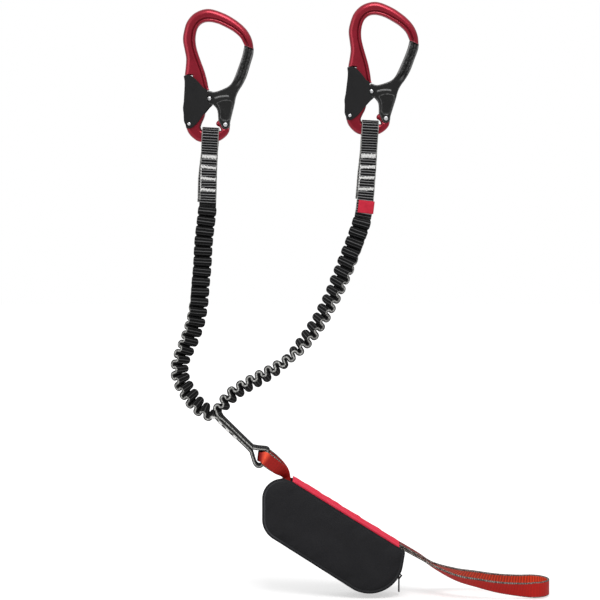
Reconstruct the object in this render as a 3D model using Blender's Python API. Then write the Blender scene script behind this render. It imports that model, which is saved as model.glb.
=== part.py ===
"""Via ferrata lanyard: two palm-lock carabiners on rippled elastic webbing arms, linked to a
folded tear-webbing absorber that lies in a zipped pouch with a harness loop."""

import math

import bmesh
import bpy
import numpy as np
from mathutils import Vector

# Clearances: between touching pieces, and how far a cutter runs past what it cuts.
SEAT_GAP = 0.0003
RUNNING_GAP = 0.0005
OVERRUN = 0.002
SEGMENTS = 12
SMOOTH_ANGLE = math.radians(50)

# Carabiner frame, measured from the centre of its bottom bar.
FRAME_LENGTH = 0.124
FRAME_WIDTH = 0.0665
FRAME_THICKNESS = 0.0108
FRAME_EDGE = 0.0016
BAR_EDGE = 0.0030
EYE_SHARES = (0.013534, -0.002419)
EYE_X, EYE_Z = EYE_SHARES[0] * FRAME_WIDTH, EYE_SHARES[1] * FRAME_LENGTH
HINGE_SHARES = (0.224060, 0.087903)
HINGE_X, HINGE_Z = HINGE_SHARES[0] * FRAME_WIDTH, HINGE_SHARES[1] * FRAME_LENGTH
TANG_RADIUS = 0.0039
TANG_THICKNESS = 0.0058
OUTER_SHARES = [(0.601, 0.658), (0.582, 0.716), (0.538, 0.770), (0.464, 0.821), (0.343, 0.872),
                (0.173, 0.921), (-0.038, 0.951), (-0.219, 0.922), (-0.335, 0.854), (-0.382, 0.768),
                (-0.389, 0.708), (-0.364, 0.641), (-0.343, 0.581), (-0.346, 0.522), (-0.358, 0.458)]
BOTTOM_SHARES = [(-0.327, 0.064), (-0.297, 0.024), (-0.236, -0.013), (-0.146, -0.042), (0.002, -0.049),
                 (0.134, -0.035), (0.217, -0.005), (0.266, 0.028), (0.282, 0.058)]
HOLE_RIGHT_SHARES = [(0.165, 0.122), (0.126, 0.120), (0.101, 0.108), (0.093, 0.094), (0.104, 0.080),
                     (0.142, 0.069), (0.163, 0.046), (0.136, 0.0415)]
HOLE_LEFT_SHARES = [(-0.106, 0.043), (-0.125, 0.068), (-0.109, 0.098), (-0.080, 0.134)]
INNER_SHARES = [(-0.024, 0.360), (-0.046, 0.416), (-0.082, 0.483), (-0.126, 0.546), (-0.173, 0.613),
                (-0.207, 0.676), (-0.215, 0.740), (-0.190, 0.803), (-0.127, 0.842), (-0.035, 0.855),
                (0.085, 0.845), (0.205, 0.818), (0.318, 0.785), (0.412, 0.741), (0.473, 0.682)]

# Gate: hinged at the tang, with a branch that reaches back to the lock pin.
GATE_EDGE = 0.0009
GATE_OPEN = math.radians(21)
HUB_RADIUS = 0.00415
FORK_GAP = 0.0064
FORK_RADIUS = 0.0096
FAN_FROM = math.radians(96)
FAN_TO = math.radians(205)
PIN_SHARES = (-0.009023, 0.281452)
PIN_X, PIN_Z = PIN_SHARES[0] * FRAME_WIDTH, PIN_SHARES[1] * FRAME_LENGTH
LOBE_RADIUS = 0.0040
LOBE_FROM = math.radians(-65)
LOBE_TO = math.radians(-215)
PANEL_DEPTH = 0.0007
RIB_RADIUS = 0.0256
RIB_WIDTH = 0.0014
RIB_HEIGHT = 0.0003
RIB_FROM = math.radians(113)
RIB_TO = math.radians(84)
GATE_OUTER_SHARES = [(0.601, 0.651), (0.594, 0.613), (0.558, 0.545), (0.511, 0.458), (0.457, 0.395),
                     (0.397, 0.342), (0.362, 0.296), (0.344, 0.244), (0.307, 0.158), (0.288, 0.113)]
GATE_ARCH_SHARES = [(0.161, 0.084), (0.127, 0.116), (0.119, 0.148), (0.113, 0.178), (0.097, 0.206),
                    (0.044, 0.237)]
GATE_INNER_SHARES = [(-0.024, 0.341), (0.010, 0.337), (0.052, 0.332), (0.108, 0.338), (0.178, 0.353),
                     (0.247, 0.372), (0.302, 0.401), (0.343, 0.446), (0.386, 0.510), (0.426, 0.574),
                     (0.453, 0.626), (0.467, 0.674)]
PANEL_SHARES = [(0.112, 0.246), (0.180, 0.263), (0.255, 0.265), (0.309, 0.252), (0.297, 0.195),
                (0.268, 0.133), (0.213, 0.119), (0.166, 0.136), (0.163, 0.178), (0.146, 0.215)]

# Palm lever: a folded plate over the spine, squeezed towards it.
LEVER_SHARES = (-0.282707, 0.088710)
LEVER_X, LEVER_Z = LEVER_SHARES[0] * FRAME_WIDTH, LEVER_SHARES[1] * FRAME_LENGTH
LEVER_SQUEEZE = math.radians(7)
LEVER_PLATE = 0.0013
LEVER_EDGE = 0.0004
BACK_WALL = 0.0014
BACK_WALL_FOOT_SHARE = 0.120968
BACK_WALL_FOOT = BACK_WALL_FOOT_SHARE * FRAME_LENGTH
LEVER_TOP_SHARES = [(-0.368, 0.447), (-0.288, 0.453), (-0.232, 0.437), (-0.160, 0.402), (-0.096, 0.364),
                    (-0.041, 0.345)]
LEVER_RIGHT_SHARES = [(-0.037, 0.304), (-0.027, 0.261), (0.003, 0.244), (0.037, 0.237)]
LEVER_LOW_SHARES = [(-0.003, 0.215), (-0.055, 0.180), (-0.104, 0.144), (-0.156, 0.105), (-0.220, 0.070),
                    (-0.278, 0.053), (-0.323, 0.057)]
LEVER_BACK_SHARES = [(-0.333, 0.081), (-0.357, 0.110), (-0.363, 0.163), (-0.373, 0.207), (-0.363, 0.252),
                     (-0.359, 0.305), (-0.354, 0.365), (-0.355, 0.409)]

# Rivets: shank and head radii, and the height that a head stands proud.
HINGE_SHANK = 0.00135
HINGE_HEAD = 0.0019
PIVOT_SHANK = 0.0010
PIVOT_HEAD = 0.0015
HEAD_HEIGHT = 0.0006
COUNTERBORE = 0.0010

# Where each carabiner's bottom bar lies and how far it leans, clockwise from upright.
BAR_PLACES = {"left": (0.0006, -0.1061), "right": (0.1495, -0.0994)}
BAR_LEAN = {"left": math.radians(1.0), "right": math.radians(4.4)}

# Elastic arm webbing: a flat eye and sewn length, then ripples, then the joined tail.
WEB_WIDTH = 0.0158
WEB_FLAT = 0.0014
WEB_RIPPLED = 0.0031
WEB_TAIL = 0.0025
LAYER_GAP = 0.0005
EYE_RADIUS = 0.0072
EYE_STEPS = 14
EYE_DROP = 0.0185
BACK_SHIFT = 0.0014
BACK_SHARE = 0.2
RIPPLE_PITCH = 0.0096
RIPPLE_RISE = 0.0068
RIPPLE_LEAN = math.radians(16)
RIPPLE_FADE = 0.012
THICKEN = 0.010
WEB_STEP = 0.0016

# Routes of the two strands, from each eye to the link, as X, Z and twist in degrees. The twist is
# the lean of the strip's width out of the viewing direction.
LEFT_ROUTE = [(0.0015, -0.1064, 90), (-0.0002, -0.1376, 90), (-0.0012, -0.1712, 88),
              (-0.0041, -0.2031, 85), (-0.0058, -0.2266, 82), (-0.0086, -0.2454, 78),
              (-0.0107, -0.2614, 70), (-0.0140, -0.2803, 56), (-0.0205, -0.2991, 42),
              (-0.0270, -0.3143, 34), (-0.0287, -0.3266, 31), (-0.0247, -0.3380, 30),
              (-0.0191, -0.3474, 30), (-0.0130, -0.3569, 28), (-0.0064, -0.3631, 24),
              (-0.0017, -0.3660, 18), (0.0030, -0.3671, 12), (0.0073, -0.3693, 7), (0.0119, -0.3752, 2),
              (0.0364, -0.3992, 0)]
RIGHT_ROUTE = [(0.1504, -0.0997, -90), (0.1484, -0.1376, -90), (0.1447, -0.1778, -88),
               (0.1385, -0.2003, -80), (0.1328, -0.2162, -68), (0.1280, -0.2285, -56),
               (0.1225, -0.2416, -43), (0.1153, -0.2576, -31), (0.1058, -0.2755, -25),
               (0.0966, -0.2897, -18), (0.0862, -0.3027, 6), (0.0732, -0.3158, 21),
               (0.0587, -0.3265, 24), (0.0448, -0.3343, 24), (0.0315, -0.3416, 24),
               (0.0211, -0.3490, 23), (0.0150, -0.3555, 20), (0.0105, -0.3610, 16),
               (0.0082, -0.3657, 10), (0.0107, -0.3699, 4), (0.0140, -0.3729, 1), (0.0385, -0.3969, 0)]
LINK_ROUTE = [(0.0396, -0.4045, 0), (0.0412, -0.4096, 0), (0.0426, -0.4136, 0), (0.0451, -0.4161, 0),
              (0.0483, -0.4159, 0), (0.0506, -0.4129, 0), (0.0522, -0.4090, 0), (0.0541, -0.4052, 0),
              (0.0552, -0.4024, 0), (0.0537, -0.4004, 0), (0.0492, -0.3998, 0), (0.0445, -0.3993, 0),
              (0.0412, -0.3985, 0)]
LINK_MIDDLE = 6
SEWN_LENGTH = {"left": 0.0655, "right": 0.0790}
BACK_LENGTH = {"left": 0.0615, "right": 0.0655}
RIPPLE_COUNT = {"left": 22, "right": 24.5}
RIPPLE_SIDE = {"left": -1, "right": 1}

# Woven tag round the right arm.
TAG_HEIGHT = 0.0118
TAG_THICKNESS = 0.0005
TAG_DROP = 0.0665

# Pouch: a rounded parallelogram, its front and back panels joined by bands.
POUCH_CORNERS = [(0.0496, -0.4112), (0.1843, -0.4953), (0.1734, -0.5537), (0.0495, -0.4769)]
POUCH_RADII = [0.0190, 0.0020, 0.0330, 0.0216]
PINCHED_RADIUS = 0.0240
POUCH_DEPTH = 0.038
PANEL_THICKNESS = 0.0025
PANEL_EDGE = 0.0012
BAND_THICKNESS = 0.0014
BAND_INSET = 0.0010
TOP_BULGE = 0.0008
CORNER_STEPS = 9
TOP_BAND_SHARES = (0.246, 0.965)
SIDE_BAND_SHARES = (0.020, 0.915)

# Red webbing: the link to the arms, the folded absorber and the harness loop.
RED_WIDTH = 0.0150
RED_THICKNESS = 0.0016
LINK_SPREAD = 0.0097
LINK_NECK = 0.0011
LINK_STEPS = 6
LINK_FOLD = (0.0458, -0.4072, 6, 0.00, 0.60)
RED_ROUTE = [(0.0522, -0.4078, 26, 1.00, 0.94), (0.0588, -0.4130, 34, 1.00, 0.92),
             (0.0656, -0.4184, 38, 0.84, 0.80), (0.0704, -0.4228, 48, 0.42, 0.62),
             (0.0724, -0.4273, 70, 0.02, 0.50), (0.0729, -0.4321, 84, 0.00, 0.48)]
ABSORBER_LAYERS = 8
ABSORBER_SHARE = 0.2226
ABSORBER_LENGTH = 0.084
ABSORBER_PITCH = 0.0026
ABSORBER_THICKNESS = 0.0018
LOOP_THICKNESS = 0.0018
LOOP_SPREAD = 0.0370
LOOP_ROUTE = [(0.1792, -0.4920, 90, 0.00), (0.1866, -0.4963, 90, 0.00), (0.1990, -0.5035, 86, 0.06),
              (0.2130, -0.5122, 74, 0.28), (0.2327, -0.5205, 60, 0.80), (0.2525, -0.5250, 48, 0.96),
              (0.2722, -0.5290, 36, 1.00), (0.2920, -0.5312, 22, 0.98), (0.3035, -0.5318, 8, 0.94)]
LOOP_END_STEPS = 10

# Zip: its chain along the lower band, the slider at the round corner and the hanging pull.
CHAIN_WIDTH = 0.0046
CHAIN_THICKNESS = 0.0013
CHAIN_SHARES = (0.03, 0.74)
SLIDER_LENGTH = 0.0085
SLIDER_WIDTH = 0.0080
SLIDER_PLATE = 0.0012
SLIDER_ANGLE = math.radians(-37)
BRIDGE_LENGTH = 0.0050
BRIDGE_WIDTH = 0.0018
BRIDGE_HEIGHT = 0.0036
BRIDGE_BAR = 0.0012
PULL_LENGTH = 0.0160
PULL_WIDTH = 0.0050
PULL_THICKNESS = 0.0013
PULL_HOLE = 0.0034

COLOURS = {"anodised_red": ((0.36, 0.014, 0.030), 0.35, 0.8), "gate_grey": ((0.050, 0.051, 0.054), 0.45, 0.6),
           "lever_black": ((0.022, 0.022, 0.023), 0.7, 0.0), "steel": ((0.62, 0.62, 0.62), 0.25, 1.0),
           "arm_webbing": ((0.030, 0.030, 0.031), 0.9, 0.0), "tag_red": ((0.50, 0.02, 0.035), 0.8, 0.0),
           "red_webbing": ((0.42, 0.035, 0.020), 0.85, 0.0), "pouch_fabric": ((0.024, 0.024, 0.025), 0.9, 0.0),
           "band_red": ((0.68, 0.055, 0.085), 0.8, 0.0), "zip_black": ((0.012, 0.012, 0.013), 0.5, 0.0)}


def material(name):
    """The named material, made once."""
    found = bpy.data.materials.get(name)
    if found:
        return found
    colour, roughness, metallic = COLOURS[name]
    made = bpy.data.materials.new(name)
    made.use_nodes = True
    shader = made.node_tree.nodes["Principled BSDF"]
    shader.inputs["Base Color"].default_value = (*colour, 1)
    shader.inputs["Roughness"].default_value = roughness
    shader.inputs["Metallic"].default_value = metallic
    return made


def add_object(name, bm, material_name=None):
    """An object from a bmesh, with its faces turned outwards."""
    bmesh.ops.recalc_face_normals(bm, faces=bm.faces)
    mesh = bpy.data.meshes.new(name)
    bm.to_mesh(mesh)
    bm.free()
    if material_name:
        mesh.materials.append(material(material_name))
    made = bpy.data.objects.new(name, mesh)
    bpy.context.collection.objects.link(made)
    return made


def through(points, steps):
    """Points along a smooth curve through the given points, both ends included."""
    knots = [Vector(point) for point in points]
    padded = [2 * knots[0] - knots[1]] + knots + [2 * knots[-1] - knots[-2]]
    curve = []
    for before, start, end, after in zip(padded, padded[1:], padded[2:], padded[3:]):
        for step in range(steps):
            t = step / steps
            curve.append((2 * start + (end - before) * t
                          + (2 * before - 5 * start + 4 * end - after) * t ** 2
                          + (3 * start - before - 3 * end + after) * t ** 3) / 2)
    return curve + [knots[-1]]


def arc(centre, radius, start, end, steps):
    """Points on an arc, both ends included."""
    turns = [start + (end - start) * step / steps for step in range(steps + 1)]
    return [Vector((centre[0] + radius * math.cos(turn), centre[1] + radius * math.sin(turn)))
            for turn in turns]


def on_frame(shares):
    """Places given as shares of the frame's width and length."""
    return [(x * FRAME_WIDTH, z * FRAME_LENGTH) for x, z in shares]


def counter_clockwise(outline):
    """The outline in counter-clockwise order."""
    pairs = zip(outline, outline[1:] + outline[:1])
    area = sum(a[0] * b[1] - b[0] * a[1] for a, b in pairs)
    return list(outline) if area > 0 else list(reversed(outline))


def inset(outline, amounts):
    """A counter-clockwise outline moved inwards, by its own amount at each point."""
    moved = []
    for before, point, after, amount in zip(outline[-1:] + outline[:-1], outline,
                                            outline[1:] + outline[:1], amounts):
        first = (point - before).normalized()
        second = (after - point).normalized()
        inward = Vector((-first.y - second.y, first.x + second.x))
        moved.append(point + inward * amount / max(1 + first.dot(second), 0.5))
    return moved


def stack(name, rings, material_name=None):
    """A closed solid from like rings of points, with flat ends."""
    bm = bmesh.new()
    levels = [[bm.verts.new(point) for point in ring] for ring in rings]
    for low, high in zip(levels, levels[1:]):
        for k in range(len(low)):
            after = (k + 1) % len(low)
            bm.faces.new((low[k], low[after], high[after], high[k]))
    bm.faces.new(levels[0])
    bm.faces.new(levels[-1])
    return add_object(name, bm, material_name)


def slab(name, outline, half_depth, edge, material_name=None):
    """An upright plate with the given outline, its rims rounded by the edge size at each point."""
    outline = counter_clockwise([Vector(point) for point in outline])
    edges = [edge(point) for point in outline] if callable(edge) else [edge] * len(outline)
    corner = 1 - math.sqrt(0.5)
    levels = [(list(edges), [half_depth] * len(edges)),
              ([size * corner for size in edges], [half_depth - size * corner for size in edges]),
              ([0] * len(edges), [half_depth - size for size in edges])]
    rings = []
    for side, chosen in ((-1, levels), (1, levels[::-1])):
        for amounts, depths in chosen:
            flat = inset(outline, amounts)
            rings.append([(point.x, side * depth, point.y) for point, depth in zip(flat, depths)])
    return stack(name, rings, material_name)


def plain_slab(name, outline, low, high):
    """A cutter with the given outline between two depths."""
    return stack(name, [[(point[0], depth, point[1]) for point in outline] for depth in (low, high)])


def turned(name, centre, profile, material_name=None):
    """A solid turned about a line along Y, from pairs of depth and radius."""
    rings = []
    for depth, radius in profile:
        circle = arc(centre, radius, 0, 2 * math.pi, SEGMENTS)[:-1]
        rings.append([(point.x, depth, point.y) for point in circle])
    return stack(name, rings, material_name)


def smooth(target, angle=SMOOTH_ANGLE):
    """Shade an object smooth, with the edges above the angle kept sharp."""
    target.data.shade_smooth()
    target.data.set_sharp_from_angle(angle=angle)


def combine(target, others, operation="DIFFERENCE"):
    """Cut the others out of the target, or join them to it, and drop them."""
    for other in others:
        step = target.modifiers.new("combine", "BOOLEAN")
        step.operation = operation
        step.object = other
        step.solver = "EXACT"
        bpy.context.view_layer.objects.active = target
        bpy.ops.object.modifier_apply(modifier=step.name)
        bpy.data.objects.remove(other)
    return target


def turn_about(point, centre, angle):
    """A point turned counter-clockwise about a centre."""
    away = Vector(point) - Vector(centre)
    turned_away = Vector((away.x * math.cos(angle) - away.y * math.sin(angle),
                          away.x * math.sin(angle) + away.y * math.cos(angle)))
    return Vector(centre) + turned_away


def polar(point, centre):
    """Distance and direction of a point from a centre."""
    away = Vector(point) - Vector(centre)
    return away.length, math.atan2(away.y, away.x)


def lock_pocket():
    """The way that the frame leaves for the gate's branch, from the small hole to the basket."""
    hinge = (HINGE_X, HINGE_Z)
    pin_reach, pin_turn = polar((PIN_X, PIN_Z), hinge)
    cusp_reach, cusp_turn = polar(on_frame(GATE_ARCH_SHARES)[-1], hinge)
    top_reach = polar(on_frame(GATE_INNER_SHARES)[0], hinge)[0]
    lobe_end = arc((PIN_X, PIN_Z), LOBE_RADIUS, LOBE_TO, LOBE_TO, 1)[0]
    basket_turn = polar(on_frame(INNER_SHARES)[0], hinge)[1]
    inner = cusp_reach - RUNNING_GAP
    lobe = pin_reach + LOBE_RADIUS + RUNNING_GAP
    outer = top_reach + RUNNING_GAP
    spare = RUNNING_GAP / pin_reach
    end = pin_turn + GATE_OPEN + math.asin(LOBE_RADIUS / pin_reach) + spare
    step = polar(lobe_end, hinge)[1] + GATE_OPEN + spare
    corner = arc(hinge, inner, end, end, 1)[:1]
    return corner + arc(hinge, lobe, end, step, 3) + arc(hinge, outer, step, basket_turn, 5)


def frame_outline():
    """The frame's outline: round the back, under the bar, over the tang and up inside."""
    pivot = (LEVER_X, LEVER_Z)
    back = on_frame(LEVER_BACK_SHARES)
    top = turn_about((back[-1][0] + BACK_WALL, on_frame(OUTER_SHARES)[-1][1]), pivot, -LEVER_SQUEEZE)
    foot = turn_about((back[2][0] + BACK_WALL, BACK_WALL_FOOT), pivot, -LEVER_SQUEEZE)
    ceiling = on_frame(OUTER_SHARES)[-1][1]
    hinge = (HINGE_X, HINGE_Z)
    tang = arc(hinge, TANG_RADIUS, math.radians(-10), math.radians(95), 6)
    recess = [Vector((top.x + RUNNING_GAP, ceiling)), Vector((foot.x + RUNNING_GAP, foot.y))]
    return (through(on_frame(OUTER_SHARES), 2) + recess + through(on_frame(BOTTOM_SHARES), 2) + tang
            + through(on_frame(HOLE_RIGHT_SHARES), 2) + through(on_frame(HOLE_LEFT_SHARES), 2)
            + lock_pocket() + through(on_frame(INNER_SHARES), 2))


def frame_edge(point):
    """Rim rounding: larger round the bottom bar, which is nearly round where the webbing wraps it."""
    below = min(max(2 - 2 * point[1] / FRAME_THICKNESS, 0), 1)
    beside = min(max(3.2 - 4 * (point[0] - EYE_X) / WEB_WIDTH, 0), 1)
    return FRAME_EDGE + (BAR_EDGE - FRAME_EDGE) * below * beside


def build_frame():
    """Forged frame with a thin tang for the gate's fork and a hole for the lever's rivet."""
    half = FRAME_THICKNESS / 2
    frame = slab("frame", frame_outline(), half, frame_edge, "anodised_red")
    hinge = (HINGE_X, HINGE_Z)
    cutters = []
    for side in (-1, 1):
        near = side * TANG_THICKNESS / 2
        far = side * (half + OVERRUN)
        hub = HUB_RADIUS + RUNNING_GAP
        cutters.append(turned("hub_room", hinge, [(near, hub), (far, hub)]))
        fan = arc(hinge, FORK_RADIUS + OVERRUN, FAN_FROM, FAN_TO, 8)
        cutters.append(plain_slab("fork_room", [Vector(hinge)] + fan, near, far))
    for centre, shank in ((hinge, HINGE_SHANK), ((LEVER_X, LEVER_Z), PIVOT_SHANK)):
        hole = shank + SEAT_GAP
        cutters.append(turned("rivet_hole", centre, [(-half - OVERRUN, hole), (half + OVERRUN, hole)]))
    return combine(frame, cutters)


def gate_outline():
    """The gate's outline: outer edge, hub, arch, lobe round the lock pin, basket edge."""
    hub = arc((HINGE_X, HINGE_Z), HUB_RADIUS, math.radians(15), math.radians(-165), 8)
    lobe = arc((PIN_X, PIN_Z), LOBE_RADIUS, LOBE_FROM, LOBE_TO, 6)
    return (through(on_frame(GATE_OUTER_SHARES), 2) + hub + through(on_frame(GATE_ARCH_SHARES), 2) + lobe
            + through(on_frame(GATE_INNER_SHARES), 2))


def build_gate():
    """Gate with a forked hub, a forked branch, a sunk panel and a raised rib on each face."""
    half = FRAME_THICKNESS / 2
    gate = slab("gate", gate_outline(), half, GATE_EDGE, "gate_grey")
    hinge = (HINGE_X, HINGE_Z)
    pin = (PIN_X, PIN_Z)
    ribs = []
    cutters = []
    for side in (-1, 1):
        rib = (arc(hinge, RIB_RADIUS, RIB_FROM, RIB_TO, 6)
               + arc(hinge, RIB_RADIUS + RIB_WIDTH, RIB_TO, RIB_FROM, 6))
        ribs.append(plain_slab("rib", rib, side * (half - OVERRUN), side * (half + RIB_HEIGHT)))
        panel = through(on_frame(PANEL_SHARES + PANEL_SHARES[:1]), 2)[:-1]
        cutters.append(plain_slab("panel", panel, side * (half - PANEL_DEPTH), side * (half + OVERRUN)))
        sunk = HINGE_HEAD + RUNNING_GAP
        cutters.append(turned("counterbore", pin, [(side * (half - COUNTERBORE), sunk),
                                                   (side * (half + OVERRUN), sunk)]))
    fork = FORK_GAP / 2
    for centre, reach in ((hinge, FORK_RADIUS), (pin, LOBE_RADIUS + OVERRUN)):
        cutters.append(turned("fork", centre, [(-fork, reach), (fork, reach)]))
        hole = HINGE_SHANK + SEAT_GAP
        cutters.append(turned("rivet_hole", centre, [(-half - OVERRUN, hole), (half + OVERRUN, hole)]))
    combine(gate, ribs, "UNION")
    return combine(gate, cutters)


def lever_outline():
    """The lever's side view, from its lip round the lock pin and back along the palm edge."""
    top = through(on_frame(LEVER_TOP_SHARES), 2)
    low = through(on_frame(LEVER_RIGHT_SHARES + LEVER_LOW_SHARES), 2)
    back = through(on_frame(LEVER_BACK_SHARES), 2)
    return top + low + back


def build_lever():
    """Folded plate: two cheeks joined by a back wall that ends above the pivot."""
    inner = FRAME_THICKNESS / 2 + RUNNING_GAP
    lever = slab("lever", lever_outline(), inner + LEVER_PLATE, LEVER_EDGE, "lever_black")
    wall = [point + Vector((BACK_WALL, 0)) for point in through(on_frame(LEVER_BACK_SHARES), 2)
            if point.y > BACK_WALL_FOOT]
    left = on_frame(LEVER_TOP_SHARES)[0][0] - OVERRUN
    right = on_frame(LEVER_RIGHT_SHARES)[-1][0] + OVERRUN
    top = on_frame(LEVER_TOP_SHARES)[1][1] + OVERRUN
    room = ([Vector((left, -OVERRUN)), Vector((left, BACK_WALL_FOOT))] + wall
            + [Vector((wall[-1].x, top)), Vector((right, top)), Vector((right, -OVERRUN))])
    cutters = [plain_slab("spine_room", room, -inner, inner)]
    hole = PIVOT_SHANK + SEAT_GAP
    reach = inner + LEVER_PLATE + OVERRUN
    cutters.append(turned("rivet_hole", (LEVER_X, LEVER_Z), [(-reach, hole), (reach, hole)]))
    return combine(lever, cutters)


def build_rivet(name, centre, shank, head, seat, height):
    """A rivet with a low domed head beyond the seat on each side."""
    half = [(seat, shank), (seat, head), (seat + height / 2, head), (seat + height, head * 0.7)]
    profile = [(-depth, radius) for depth, radius in reversed(half)] + half
    return turned(name, centre, profile, "steel")


def build_carabiner_pieces():
    """One carabiner's pieces about the centre of its bottom bar, with each one's own axis."""
    half = FRAME_THICKNESS / 2
    hinge = (HINGE_X, HINGE_Z)
    pivot = (LEVER_X, LEVER_Z)
    pin = (PIN_X, PIN_Z)
    cheek = half + RUNNING_GAP + LEVER_PLATE
    flush = half - COUNTERBORE + SEAT_GAP
    return {"frame": (build_frame(), (EYE_X, EYE_Z)),
            "gate": (build_gate(), hinge),
            "palm_lever": (build_lever(), pivot),
            "gate_hinge_rivet": (build_rivet("hinge_rivet", hinge, HINGE_SHANK, HINGE_HEAD,
                                             half + SEAT_GAP, HEAD_HEIGHT), hinge),
            "lever_pivot_rivet": (build_rivet("pivot_rivet", pivot, PIVOT_SHANK, PIVOT_HEAD,
                                              cheek + SEAT_GAP, HEAD_HEIGHT), pivot),
            "lock_pin": (build_rivet("pin", pin, HINGE_SHANK, HINGE_HEAD, flush, HEAD_HEIGHT), pin)}


def place_carabiners():
    """Both carabiners: each piece is its own object, with its origin on its axis."""
    pieces = build_carabiner_pieces()
    for side, (bar_x, bar_z) in BAR_PLACES.items():
        carrier = bpy.data.objects.new(side + "_carabiner", None)
        carrier.location = (bar_x, 0, bar_z)
        carrier.rotation_euler = (0, BAR_LEAN[side], 0)
        bpy.context.collection.objects.link(carrier)
        for name, (source, (axis_x, axis_z)) in pieces.items():
            mesh = source.data.copy()
            for vertex in mesh.vertices:
                vertex.co -= Vector((axis_x, 0, axis_z))
            placed = bpy.data.objects.new(side + "_" + name, mesh)
            placed.location = (axis_x, 0, axis_z)
            placed.parent = carrier
            bpy.context.collection.objects.link(placed)
    for source, _ in pieces.values():
        bpy.data.objects.remove(source)


class Route:
    """A smooth route in the X, Z plane with a value carried along it, read by length."""

    def __init__(self, points, steps=12):
        self.points = through(points, steps)
        self.lengths = [0]
        for start, end in zip(self.points, self.points[1:]):
            self.lengths.append(self.lengths[-1] + (end.xy - start.xy).length)
        self.length = self.lengths[-1]

    def at(self, length):
        """Place, direction and carried values at a length from the start."""
        length = min(max(length, 0), self.length)
        k = 0
        while k < len(self.lengths) - 2 and self.lengths[k + 1] < length:
            k += 1
        span = self.lengths[k + 1] - self.lengths[k]
        mixed = self.points[k].lerp(self.points[k + 1], (length - self.lengths[k]) / span)
        before = self.points[max(k - 1, 0)]
        after = self.points[min(k + 2, len(self.points) - 1)]
        return mixed, (after.xy - before.xy).normalized()


def station(centre, along, width_way, width, thickness):
    """Four corners of a strip's section: its width lies along width_way, square to its path."""
    across = width_way.normalized()
    thick = across.cross(along).normalized()
    side = across * width / 2
    face = thick * thickness / 2
    return [centre - side - face, centre + side - face, centre + side + face, centre - side + face]


def strand(route, length, height, thickness, shift=0):
    """A section of the arm webbing at a length of its route, moved off it by a height or a shift."""
    mixed, way = route.at(length)
    along = Vector((way.x, 0, way.y))
    beside = Vector((-way.y, 0, way.x))
    twist = math.radians(mixed.z)
    width_way = Vector((0, math.cos(twist), 0)) + beside * math.sin(twist)
    centre = Vector((mixed.x, 0, mixed.y)) + width_way.cross(along) * height + Vector((0, shift, 0))
    return (centre, along, width_way, thickness)


def ripple_profile():
    """One wave as length and height at its points: round bends joined by leaning runs."""
    run = Vector((-math.sin(RIPPLE_LEAN), math.cos(RIPPLE_LEAN)))
    step_way = Vector((math.cos(RIPPLE_LEAN), math.sin(RIPPLE_LEAN)))
    bend = RIPPLE_PITCH / 4 * math.cos(RIPPLE_LEAN)
    straight = (RIPPLE_RISE / 2 - bend) / math.cos(RIPPLE_LEAN)
    points = []
    for quarter, sign in ((1, 1), (3, -1)):
        centre = Vector((quarter * RIPPLE_PITCH / 4, 0)) + run * straight * sign
        for step in range(5):
            turn = math.pi / 4 * step
            points.append(centre - step_way * bend * math.cos(turn) + run * bend * sign * math.sin(turn))
    return points


def with_paths(sections):
    """The sections with each path taken from its neighbours' places and its width square to it."""
    squared = []
    for k, (place, _, width_way, thickness) in enumerate(sections):
        before = sections[max(k - 1, 0)][0]
        after = sections[min(k + 1, len(sections) - 1)][0]
        path = (after - before).normalized()
        squared.append((place, path, (width_way - path * width_way.dot(path)).normalized(), thickness))
    return squared


def eye_sections(side, route):
    """Sections of an arm's end: up the sewn back layer, over the bar and down the front layer."""
    start, down = route.at(0)
    centre = Vector((start.x, 0, start.y))
    drop = Vector((down.x, 0, down.y))
    width_way = Vector((-down.y, 0, down.x)) * (1 if side == "left" else -1)
    middle = EYE_RADIUS + WEB_FLAT / 2
    layer = (LAYER_GAP + WEB_FLAT) / 2
    touch = math.atan2(-EYE_DROP, layer) + math.acos(middle / math.hypot(EYE_DROP, layer))
    sewn = SEWN_LENGTH[side]
    back_end = BACK_LENGTH[side]
    sections = []
    for length, share in ((back_end, 1), ((back_end + EYE_DROP) / 2, 1), (EYE_DROP, BACK_SHARE)):
        place, path, way, thickness = strand(route, length, 0, WEB_FLAT, layer)
        sections.append((place - Vector((BACK_SHIFT * share, 0, 0)), -path, way, thickness))
    for step in range(EYE_STEPS + 1):
        turn = touch + (math.pi - 2 * touch) * step / EYE_STEPS
        place = centre + Vector((0, middle * math.cos(turn), 0)) - drop * (middle * math.sin(turn))
        path = Vector((0, -math.sin(turn), 0)) - drop * math.cos(turn)
        sections.append((place, path, width_way, WEB_FLAT))
    for length in (EYE_DROP, (EYE_DROP + sewn) / 2, sewn - THICKEN / 2):
        sections.append(strand(route, length, 0, WEB_FLAT, -layer))
    return sections


def rippled(route, side):
    """Sections along the rippled length of an arm, fading in and out at its ends."""
    first = SEWN_LENGTH[side]
    layer = (LAYER_GAP + WEB_FLAT) / 2
    total = RIPPLE_COUNT[side] * RIPPLE_PITCH
    sections = []
    for wave in range(math.ceil(RIPPLE_COUNT[side])):
        for length, rise in ripple_profile():
            along = wave * RIPPLE_PITCH + length
            if along >= total:
                break
            height = rise * RIPPLE_SIDE[side] * min(max(along / RIPPLE_FADE, 0), 1)
            begun = min(max(along / THICKEN, 0), 1)
            thickness = WEB_FLAT + (WEB_RIPPLED - WEB_FLAT) * begun
            section = strand(route, first + along, height, thickness, -layer * (1 - begun))
            crowded = sections and (section[0] - sections[-1][0]).length < WEB_STEP * 0.9
            if along > RIPPLE_FADE or not crowded:
                sections.append(section)
    return sections, first + total


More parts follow.
